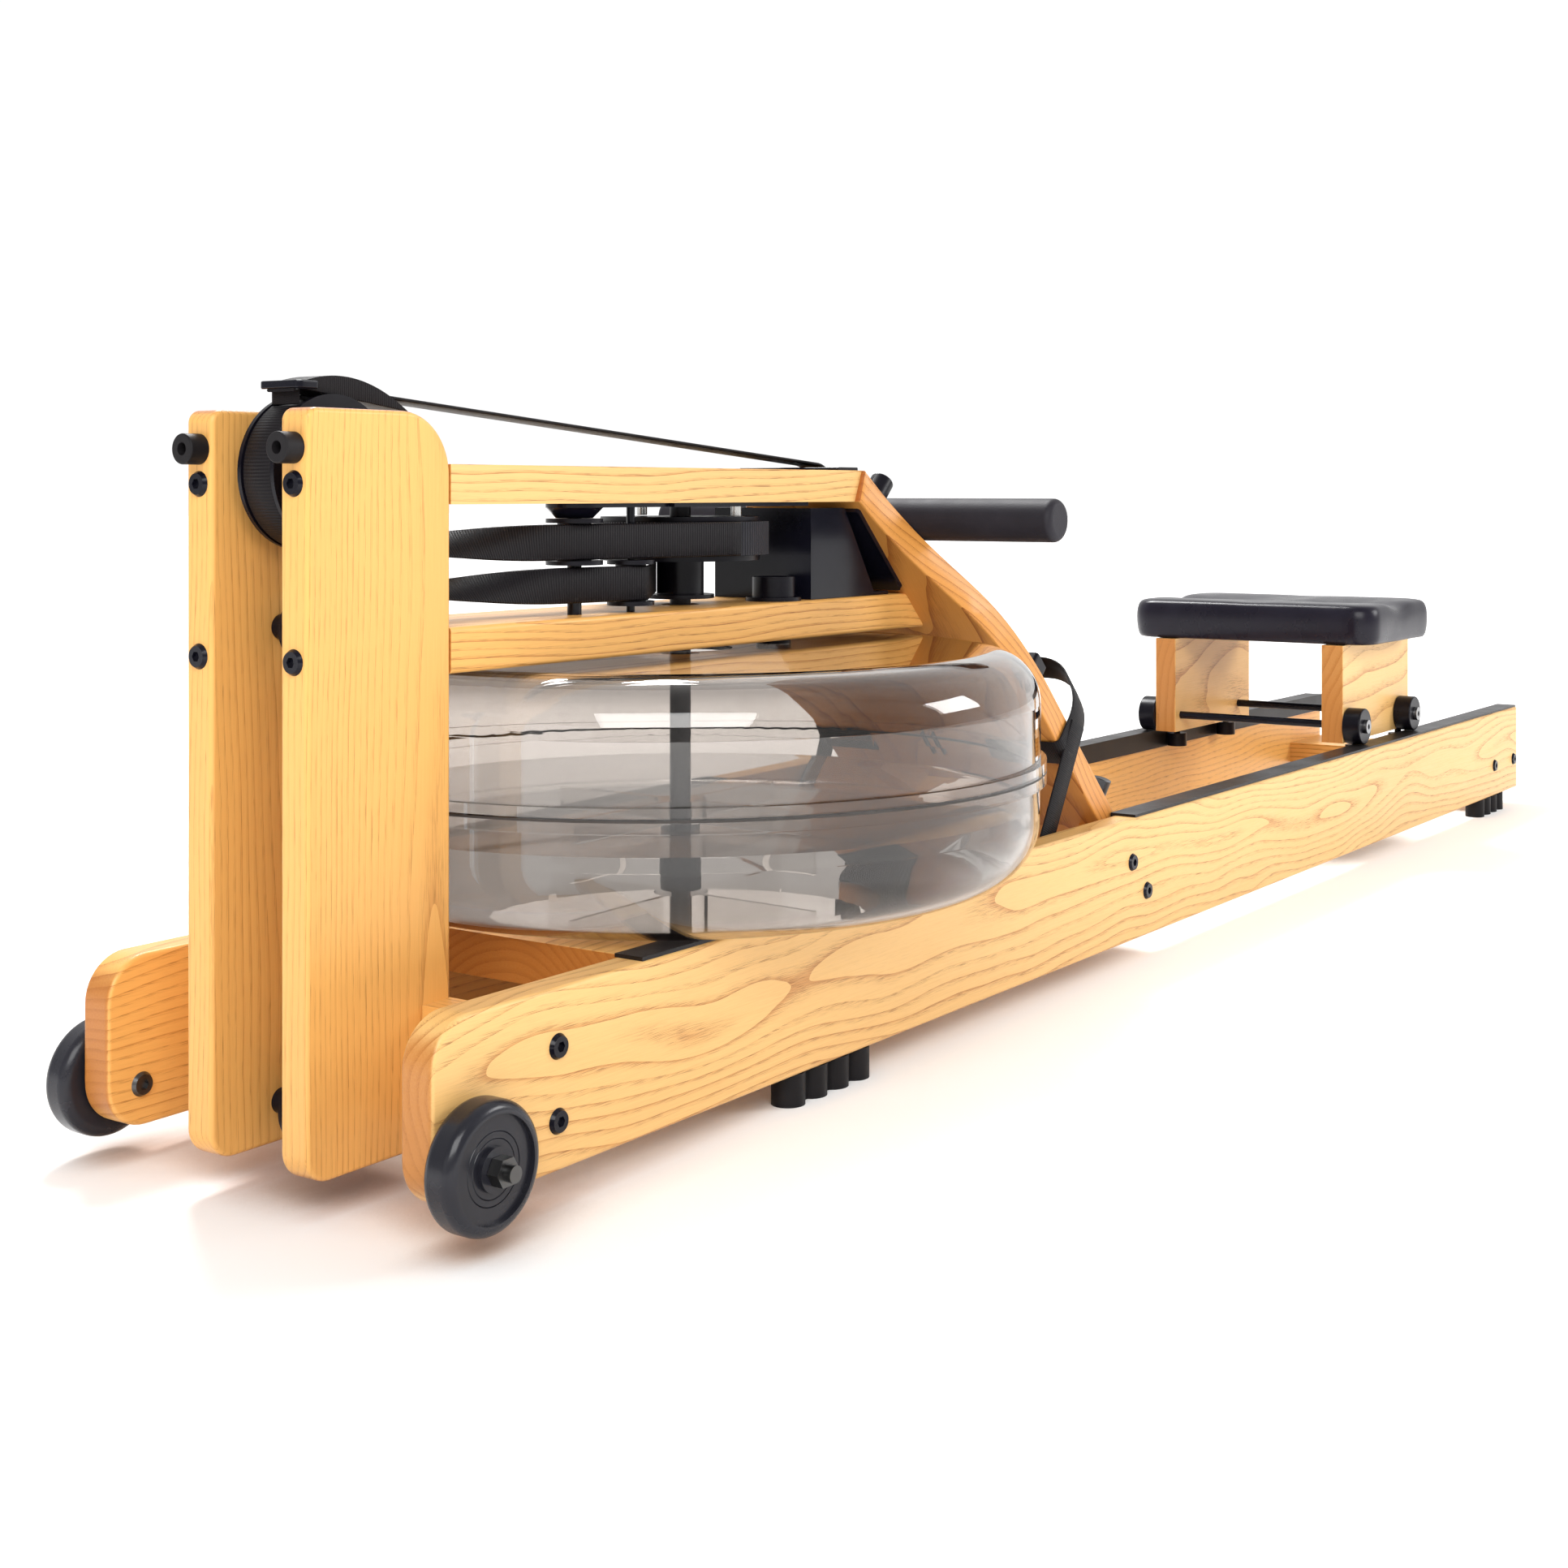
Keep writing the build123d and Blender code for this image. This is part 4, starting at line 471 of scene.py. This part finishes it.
water_mesh.materials.append(clear("water", (0.94, 0.94, 0.94, 1), (0.95, 0.95, 0.95, 1), 1.06, 0.0))
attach(tank_water, "frame")
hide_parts("water")

# Drive train between the top bars and the deck: bracket plate, pins, drum, rollers and the front pulley.
# They are black mouldings and plates, with bright nuts under the plate.
turned_pieces = (
    "strap_drum", "guide_roller", "recoil_roller", "recoil_pulley", "recoil_fittings", "front_pulley",
)
for piece in turned_pieces:
    put_material(piece, black_plastic)
put_material("drive_bracket", black_metal)
put_material("roller_pins", black_metal)
put_material("plate_nuts", steel)
put_material("pulley_axles", steel)


# Webbing: black woven straps with ribs across them, each a ribbon with rounded edges that follows its route.
# The ribs and the weave come from the ribbon's own length and width; their crests are painted lighter, a
# painted highlight.
def webbing(name, rib_pitch=0.0016, colour=(0.006, 0.005, 0.006)):
    material = bpy.data.materials.new(name)
    material.use_nodes = True
    graph = Graph(material.node_tree)
    shader = material.node_tree.nodes["Principled BSDF"]
    strip = graph.node("ShaderNodeUVMap", uv_map="strip").outputs[0]
    parts = graph.node("ShaderNodeSeparateXYZ")
    graph.join(strip, parts.inputs[0])
    ribs = graph.math("SINE", graph.math("MULTIPLY", parts.outputs[0], 2 * pi / rib_pitch))
    threads = graph.math("SINE", graph.math("MULTIPLY", parts.outputs[1], 2 * pi / 0.0011))
    weave = graph.math("ADD", ribs, graph.math("MULTIPLY", threads, 0.12))
    fuzz = graph.noise(graph.scaled(strip, 900.0, 900.0, 1.0), 1.0, 2.0)
    bump = graph.node("ShaderNodeBump")
    bump.inputs["Strength"].default_value = 0.5
    bump.inputs["Distance"].default_value = 0.00025
    graph.join(graph.math("ADD", weave, fuzz), bump.inputs["Height"])
    graph.join(bump.outputs[0], shader.inputs["Normal"])
    # Painted highlight: the crests of the ribs and threads get a lighter copy of the webbing's colour.
    rib_crest_painted_highlight = tuple(part * 1.7 for part in colour)
    shade = graph.mix(graph.ramp(weave, -1.0, 1.2, 0.0, 1.0), (*colour, 1), (*rib_crest_painted_highlight, 1))
    graph.join(shade, shader.inputs["Base Color"])
    shader.inputs["Roughness"].default_value = 0.50
    shader.inputs["Specular IOR Level"].default_value = 0.14
    return material


def ribbon(name, stations, width, thickness, material, closed=False, lengths=None, lift=None):
    """Strap through stations, each a centre and the direction across the strap."""
    centres = [Vector(centre) for centre, across in stations]
    acrosses = [Vector(across).normalized() for centre, across in stations]
    half = width / 2
    soft = min(thickness / 2, half / 4)
    section = [
        (-half, 0), (-half + soft, -thickness / 2), (half - soft, -thickness / 2),
        (half, 0), (half - soft, thickness / 2), (-half + soft, thickness / 2),
    ]
    bm = bmesh.new()
    strip = bm.loops.layers.uv.new("strip")
    rows = []
    run = [0.0]
    for index, (centre, across) in enumerate(zip(centres, acrosses)):
        before = centres[max(index - 1, 0)]
        after = centres[min(index + 1, len(centres) - 1)]
        if closed:
            before = centres[index - 1]
            after = centres[(index + 1) % len(centres)]
        along = (after - before).normalized()
        across = (across - along * across.dot(along)).normalized()
        up = lift or along.cross(across)
        rows.append([bm.verts.new(centre + across * a + up * b) for a, b in section])
        if index:
            run.append(run[-1] + (centre - centres[index - 1]).length)
    run = lengths or run
    pairs = list(zip(range(len(rows)), range(1, len(rows))))
    if closed:
        pairs.append((len(rows) - 1, 0))
        run.append(run[-1] + (centres[0] - centres[-1]).length)
    for low, high in pairs:
        far_run = run[low + 1]
        for corner in range(6):
            other = (corner + 1) % 6
            made = bm.faces.new((rows[low][corner], rows[high][corner], rows[high][other], rows[low][other]))
            made.smooth = True
            spots = (
                (run[low], section[corner][0]), (far_run, section[corner][0]),
                (far_run, section[other][0]), (run[low], section[other][0]),
            )
            for loop, spot in zip(made.loops, spots):
                loop[strip].uv = spot
    if not closed:
        bm.faces.new(rows[0])
        bm.faces.new(tuple(reversed(rows[-1])))
    bmesh.ops.recalc_face_normals(bm, faces=bm.faces)
    mesh = bpy.data.meshes.new(name)
    bm.to_mesh(mesh)
    bm.free()
    mesh.materials.append(material)
    made = bpy.data.objects.new(name, mesh)
    scene.collection.objects.link(made)
    return made


web_width, web_thickness = 0.025, 0.0022
pulley_x, pulley_z = -0.9825, 0.444


def drive_route():
    """Round the front of the pulley, flat along its underside, then turning on edge to the drum."""
    radius = 0.0469
    stations = []
    for step in range(31):
        angle = radians(122 + (270 - 122) * step / 30)
        stations.append(((pulley_x + radius * cos(angle), 0, pulley_z + radius * sin(angle)), (0, 1, 0)))
    start_x = pulley_x + 0.024
    level = pulley_z - radius
    line = radians(-11.8127)
    run_to_drum = 0.33231
    twist_run = 0.16142
    for step in range(41):
        run = run_to_drum * step / 40
        turn = min(run / twist_run, 1.0) * pi / 2
        across = (-sin(line) * cos(turn), cos(line) * cos(turn), sin(turn))
        stations.append(((start_x + run * cos(line), run * sin(line), level), across))
    return stations


drive_webbing = webbing("drive_webbing", 0.0021)
drive_strap = ribbon("drive_webbing_run", drive_route(), web_width, web_thickness, drive_webbing)
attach(drive_strap, "frame")
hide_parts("drive_strap")


def recoil_route():
    """From the clip, turning on edge, round the recoil roller and on to the spool's far side."""
    start_x, level = -0.9305, 0.367
    roller_x, roller_y, roller_radius = -0.7205, -0.035, 0.0124
    spool_radius = 0.0194
    reach = hypot(roller_x - start_x, roller_y)
    lean = atan2(roller_radius, (reach ** 2 - roller_radius ** 2) ** 0.5)
    inward = atan2(roller_y, roller_x - start_x) - lean
    spool_reach = hypot(tank_x - roller_x, roller_y)
    both = roller_radius + spool_radius
    crossing = atan2(both, (spool_reach ** 2 - both ** 2) ** 0.5)
    outward = atan2(-roller_y, tank_x - roller_x) + crossing
    tangent = (reach ** 2 - roller_radius ** 2) ** 0.5
    twist_run = tangent - 0.062
    stations = []
    for step in range(31):
        run = tangent * step / 30
        turn = min(run / twist_run, 1.0) * pi / 2
        across = (-sin(inward) * cos(turn), cos(inward) * cos(turn), sin(turn))
        stations.append(((start_x + run * cos(inward), run * sin(inward), level), across))
    for step in range(1, 9):
        angle = inward + (outward - inward) * step / 8
        centre = (roller_x + roller_radius * sin(angle), roller_y - roller_radius * cos(angle), level)
        stations.append((centre, (0, 0, 1)))
    stations.append(((tank_x - spool_radius * sin(outward), spool_radius * cos(outward), level), (0, 0, 1)))
    return stations


recoil_strap = ribbon("recoil_webbing_run", recoil_route(), web_width, web_thickness, drive_webbing)
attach(recoil_strap, "frame")
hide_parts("recoil_strap")

# The wound strap keeps its CAD strip, with ribs round the drum's axis whose crests carry a painted
# highlight.
# The elastic cord has a braided sleeve.
wound = bpy.data.materials.new("wound_webbing")
wound.use_nodes = True
g = Graph(wound.node_tree)
shader = wound.node_tree.nodes["Principled BSDF"]
parts = g.node("ShaderNodeSeparateXYZ")
g.join(g.node("ShaderNodeTexCoord").outputs["Object"], parts.inputs[0])
around = g.math("ARCTAN2", parts.outputs[1], g.math("SUBTRACT", parts.outputs[0], tank_x))
ribs = g.math("SINE", g.math("MULTIPLY", around, 150))
# Painted highlight: each rib's crest is coloured lighter than its hollow.
wound_ribs_painted_highlight = g.mix(g.ramp(ribs, -1.0, 1.0, 0.0, 1.0), (0.003, 0.003, 0.005, 1), (0.020, 0.019, 0.026, 1))
g.join(wound_ribs_painted_highlight, shader.inputs["Base Color"])
bump = g.node("ShaderNodeBump")
bump.inputs["Strength"].default_value = 0.6
bump.inputs["Distance"].default_value = 0.0005
g.join(ribs, bump.inputs["Height"])
g.join(bump.outputs[0], shader.inputs["Normal"])
shader.inputs["Roughness"].default_value = 0.45
shader.inputs["Specular IOR Level"].default_value = 0.2
put_material("drum_winding", wound)
put_material("recoil_cord", moulded("cord_sleeve", (0.02, 0.02, 0.022), 0.7, 0.0003, 420))

# Handle: foam grips on a coated core, hung on a strap that is sewn round the core and folded at a ring.
# The short web at the ring stretches along its run as the strap pays out over the pulley.
put_material("handle_core", black_metal)
put_material("handle_grips", moulded("grip_foam", (0.016, 0.014, 0.019), 0.60, 0.0004, 520, 0.0, 0.25))
put_material("strap_ring", black_metal)


def handle_strap_route():
    """From the fold at the ring to the crest over the footboard's end and down to the core."""
    start = Vector((-0.9600, 0, 0.4944))
    crest = Vector((-0.44294, 0, 0.4546))
    end = Vector((-0.3816, 0, 0.41453))
    bend = 0.030
    into = (crest - start).normalized()
    out_of = (end - crest).normalized()
    half_turn = into.angle(out_of) / 2
    reach = bend * tan(half_turn)
    first = crest - into * reach
    last = crest + out_of * reach
    stations = [start.lerp(first, step / 10) for step in range(10)]
    for step in range(13):
        share = step / 12
        stations.append((first * (1 - share) ** 2 + crest * 2 * share * (1 - share) + last * share ** 2))
    stations += [last.lerp(end, step / 4) for step in range(1, 5)]
    return [(tuple(point), (0, 1, 0)) for point in stations]


handle_webbing = webbing("handle_webbing", 0.0016)
handle_run = ribbon("handle_webbing_run", handle_strap_route(), web_width, web_thickness, handle_webbing)
core_x, core_z, loop_radius, loop_steps = -0.3816, 0.40878, 0.0104, 36
loop_stations = []
for step in range(loop_steps):
    angle = 2 * pi * step / loop_steps
    loop_centre = (core_x + loop_radius * cos(angle), 0, core_z + loop_radius * sin(angle))
    loop_stations.append((loop_centre, (0, 1, 0)))
handle_loop = ribbon(
    "handle_webbing_loop", loop_stations, web_width, web_thickness, handle_webbing, closed=True,
)
# The sewn end is a domed pad of folded webbing that reaches from the ring back over the pulley.
fold_x, fold_z, fold_length, fold_drop, fold_crown = -1.0020, 0.4975, 0.086, 0.014, 0.012
fold_profile = []
for step in range(33):
    share = step / 32
    chord = fold_z + 0.003 * (1 - share) - fold_drop * share
    crown = 4 * (fold_crown - 0.0015) * share * (1 - share)
    fold_profile.append((fold_x + fold_length * share, chord + crown))
for step in range(1, 9):
    share = step / 8
    rise = (fold_drop - 0.003) * share
    fold_profile.append((fold_x + fold_length * (1 - share), fold_z - fold_drop + rise))
bm = bmesh.new()
strip = bm.loops.layers.uv.new("strip")
half_web = web_width / 2
fold_rows = [[bm.verts.new((x, y, z)) for x, z in fold_profile] for y in (-half_web, half_web)]
fold_run = [0.0]
for before, after in zip(fold_profile, fold_profile[1:] + fold_profile[:1]):
    fold_run.append(fold_run[-1] + hypot(after[0] - before[0], after[1] - before[1]))
for index in range(len(fold_profile)):
    other = (index + 1) % len(fold_profile)
    made = bm.faces.new((fold_rows[0][index], fold_rows[0][other], fold_rows[1][other], fold_rows[1][index]))
    near_run, far_run = fold_run[index], fold_run[index + 1]
    spots = ((near_run, -half_web), (far_run, -half_web), (far_run, half_web), (near_run, half_web))
    for loop, spot in zip(made.loops, spots):
        loop[strip].uv = spot
for row in fold_rows:
    made = bm.faces.new(row)
    for loop in made.loops:
        loop[strip].uv = (loop.vert.co.x, loop.vert.co.z)
bmesh.ops.recalc_face_normals(bm, faces=bm.faces)
for made in bm.faces:
    made.smooth = True
fold_mesh = bpy.data.meshes.new("handle_webbing_fold")
bm.to_mesh(fold_mesh)
bm.free()
fold_mesh.materials.append(handle_webbing)
handle_fold = bpy.data.objects.new("handle_webbing_fold", fold_mesh)
scene.collection.objects.link(handle_fold)
round_fold = handle_fold.modifiers.new("bevel", "BEVEL")
round_fold.affect = "EDGES"
round_fold.width = 0.0018
round_fold.segments = 3
round_fold.profile = 0.5
round_fold.material = -1
round_fold.limit_method = "ANGLE"
round_fold.angle_limit = radians(50)
for piece in (handle_run, handle_loop, handle_fold):
    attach(piece, "handle")
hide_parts("handle_strap")

# Pulled right out, the web lies over the pulley's top and then runs straight to the ring.
# Its shares of the pull are spaced so, and its ribs follow the length that it has then.
web_foot, web_end, web_radius, web_fall = -1.0074, -1.0115, 0.0492, 0.0436
top_share = (pulley_x - web_foot) / (1 + web_end - web_foot)
web_shares = [top_share * step / 12 for step in range(13)]
web_shares += [top_share + (1 - top_share) * step / 36 for step in range(1, 37)]
web_stations = []
for share in web_shares:
    pulled_x = web_foot + (1 + web_end - web_foot) * min(share, top_share)
    crest = pulley_z + (web_radius ** 2 - (pulled_x - pulley_x) ** 2) ** 0.5
    height = crest + web_fall * min(share, top_share)
    web_stations.append(((web_foot + (web_end - web_foot) * share, 0, height), (0, 1, 0)))
payout = ribbon(
    "payout_webbing", web_stations, web_width, web_thickness, drive_webbing,
    lengths=web_shares, lift=Vector((0, 0, 1)),
)
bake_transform(payout)
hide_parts("payout_strap")
put_material("handle_rests", black_plastic)

# Footboard fittings: heel cups, foot straps with their buckles, and the monitor with its bracket.
# The straps stand in an open loop over each foot place, and their tails hang beside the board.
board_x, rail_top, board_thickness, board_half = -0.1685, 0.134, 0.0255, 0.127
put_material("left_heel_cup", black_plastic)
put_material("right_heel_cup", black_plastic)
put_material("strap_buckles", black_plastic)
put_material("monitor_case", black_plastic)
put_material("monitor_screen", moulded("unlit_display", (0.10, 0.115, 0.10), 0.12, 0.000004, 300, 0.0, 0.5))
put_material("monitor_bracket", black_metal)


def on_board(y, reach, off):
    return Vector((board_x + (off - reach) / 2 ** 0.5, y, rail_top + (off + reach) / 2 ** 0.5))


def rounded_route(corners, radius, steps=6):
    """Points along a bent line with its corners rounded."""
    points = [corners[0]]
    for before, corner, after in zip(corners, corners[1:], corners[2:]):
        into = (corner - before).normalized()
        out_of = (after - corner).normalized()
        reach = min(radius, (corner - before).length * 0.48, (after - corner).length * 0.48)
        first = corner - into * reach
        last = corner + out_of * reach
        for step in range(steps + 1):
            share = step / steps
            points.append(first * (1 - share) ** 2 + corner * 2 * share * (1 - share) + last * share ** 2)
    points.append(corners[-1])
    return points


foot_webbing = webbing("foot_webbing", 0.0018)
slope_way = (-1 / 2 ** 0.5, 0, 1 / 2 ** 0.5)
band_reach, band_under, band_edge = 0.096, -0.0019, board_half + 0.0019
strap_pieces = []
for side, word in ((-1, "left"), (1, "right")):
    band = rounded_route([
        on_board(side * (board_half - 0.058), band_reach, band_under),
        on_board(side * (band_edge - 0.004), band_reach, band_under),
        on_board(side * band_edge, band_reach, band_under + 0.004),
        on_board(side * band_edge, band_reach, board_thickness + 0.0233),
        on_board(side * 0.094, band_reach, board_thickness + 0.070),
        on_board(side * 0.038, band_reach, board_thickness + 0.070),
        on_board(side * 0.006, band_reach, board_thickness + 0.0233),
        on_board(side * 0.006, band_reach, band_under),
    ], 0.022)
    band_stations = [(tuple(point), slope_way) for point in band]
    loop = ribbon(f"{word}_foot_webbing", band_stations, 0.030, 0.002, foot_webbing)
    tail_start = on_board(side * (band_edge + 0.0015), band_reach, 0.032)
    tail_way = Vector((-46, 0, -95)).normalized()
    tail_down = (tail_way + Vector((0, -side * 0.055, 0))).normalized()
    tail_across = Vector((tail_way.z, 0, -tail_way.x))
    tail = ribbon(
        f"{word}_foot_webbing_tail",
        [(tuple(tail_start + tail_down * (0.150 * step / 12)), tail_across) for step in range(13)],
        0.025, 0.002, foot_webbing,
    )
    strap_pieces += [loop, tail]
for piece in strap_pieces:
    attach(piece, "frame")
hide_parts("foot_straps")

# Seat: a moulded foam pad with a grained skin on two ash blocks, which ride on four wheels.
# Round steel bolts hold the wheels on the ends of two black axle rods.
put_material("seat_blocks", ash("ash_seat_blocks", along_x, (11.3, 0.30, -0.13), 120, pale, pale_deep, 0.10))
put_material("seat_axles", black_metal)
put_material("seat_axle_bolts", moulded("bolt_steel", (0.26, 0.26, 0.265), 0.34, 0.00002, 1800, 1.0, 0.5))
put_material("side_guides", black_plastic)
for wheel in ("front_left", "front_right", "rear_left", "rear_right"):
    put_material(f"{wheel}_seat_wheel", black_plastic)

pad_low, pad_high = (Vector(corner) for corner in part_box("seat_pad"))
pad_middle = (pad_low + pad_high) / 2
pad_half_x = (pad_high.x - pad_low.x) / 2
pad_half_y = (pad_high.y - pad_low.y) / 2
pad_corner = 0.028
skin_levels = (
    (0.0, 0.008), (0.02, 0.0045), (0.10, 0.0020), (0.30, 0.0004),
    (0.55, 0.0), (0.75, 0.0006), (0.90, 0.0030), (0.97, 0.0065),
)


def pad_outline(inset):
    """Points round the pad with soft corners and sides that draw in a little between them."""
    half_x, half_y, corner = pad_half_x - inset, pad_half_y - inset, pad_corner - inset * 0.5
    points = []

    def on_corner(sign_x, sign_y, angle):
        x = sign_x * (half_x - corner) + corner * cos(angle)
        return x, sign_y * (half_y - corner) + corner * sin(angle)

    for quarter in range(4):
        sign_x = 1 if quarter in (0, 3) else -1
        sign_y = 1 if quarter in (0, 1) else -1
        for step in range(9):
            points.append(on_corner(sign_x, sign_y, quarter * pi / 2 + step / 8 * pi / 2))
        next_x = 1 if quarter in (2, 3) else -1
        next_y = 1 if quarter in (3, 0) else -1
        start = points[-1]
        end_angle = (quarter + 1) * pi / 2
        end = on_corner(next_x, next_y, end_angle)
        for step in range(1, 14):
            share = step / 14
            draw = 0.0016 * sin(pi * share)
            x = start[0] + (end[0] - start[0]) * share
            y = start[1] + (end[1] - start[1]) * share
            points.append((x - draw * cos(end_angle), y - draw * sin(end_angle)))
    return points


def pad_top(x, y):
    """Height of the pad's top: two hollows for the thighs, a groove between them and a dip at each side."""
    across = abs(y) / pad_half_y
    along = x / pad_half_x
    thigh = max(0.0, 1 - ((abs(y) - 0.072) / 0.062) ** 2)
    hollow = 0.0075 * thigh * max(0.0, 1 - ((along - 0.08) / 0.62) ** 2) ** 2
    side_dip = 0.008 * max(0.0, 1 - (along / 0.42) ** 2) ** 2 * max(0.0, (across - 0.35) / 0.65) ** 1.5
    groove = 0.003 * max(0.0, 1 - (y / 0.022) ** 2) * max(0.0, 1 - along ** 2)
    return pad_high.z - hollow - side_dip - groove


bm = bmesh.new()
pad_rings = []
for share, inset in skin_levels:
    ring = []
    for x, y in pad_outline(inset):
        top = pad_top(x, y)
        z = pad_low.z + (top - pad_low.z) * share
        ring.append(bm.verts.new((pad_middle.x + x, pad_middle.y + y, z)))
    pad_rings.append(ring)
for share in (0.955, 0.88, 0.76, 0.6, 0.42, 0.24, 0.1):
    ring = []
    for full_x, full_y in pad_outline(0.010):
        x, y = full_x * share, full_y * share
        ring.append(bm.verts.new((pad_middle.x + x, pad_middle.y + y, pad_top(x, y))))
    pad_rings.append(ring)
for low, high in zip(pad_rings, pad_rings[1:]):
    for index in range(len(low)):
        other = (index + 1) % len(low)
        bm.faces.new((low[index], low[other], high[other], high[index]))
bm.faces.new(tuple(reversed(pad_rings[0])))
bm.faces.new(tuple(pad_rings[-1]))
for made in bm.faces:
    made.smooth = True
bmesh.ops.recalc_face_normals(bm, faces=bm.faces)
pad_mesh = bpy.data.meshes.new("seat_cushion")
bm.to_mesh(pad_mesh)
bm.free()
seat_cushion = bpy.data.objects.new("seat_cushion", pad_mesh)
scene.collection.objects.link(seat_cushion)
subdivide = seat_cushion.modifiers.new("soften", "SUBSURF")
subdivide.levels = 1
subdivide.render_levels = 1
pad_mesh.materials.append(moulded("seat_skin", (0.008, 0.0065, 0.013), 0.28, 0.00010, 900, 0.0, 0.25))
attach(seat_cushion, "seat")
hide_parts("seat_pad")
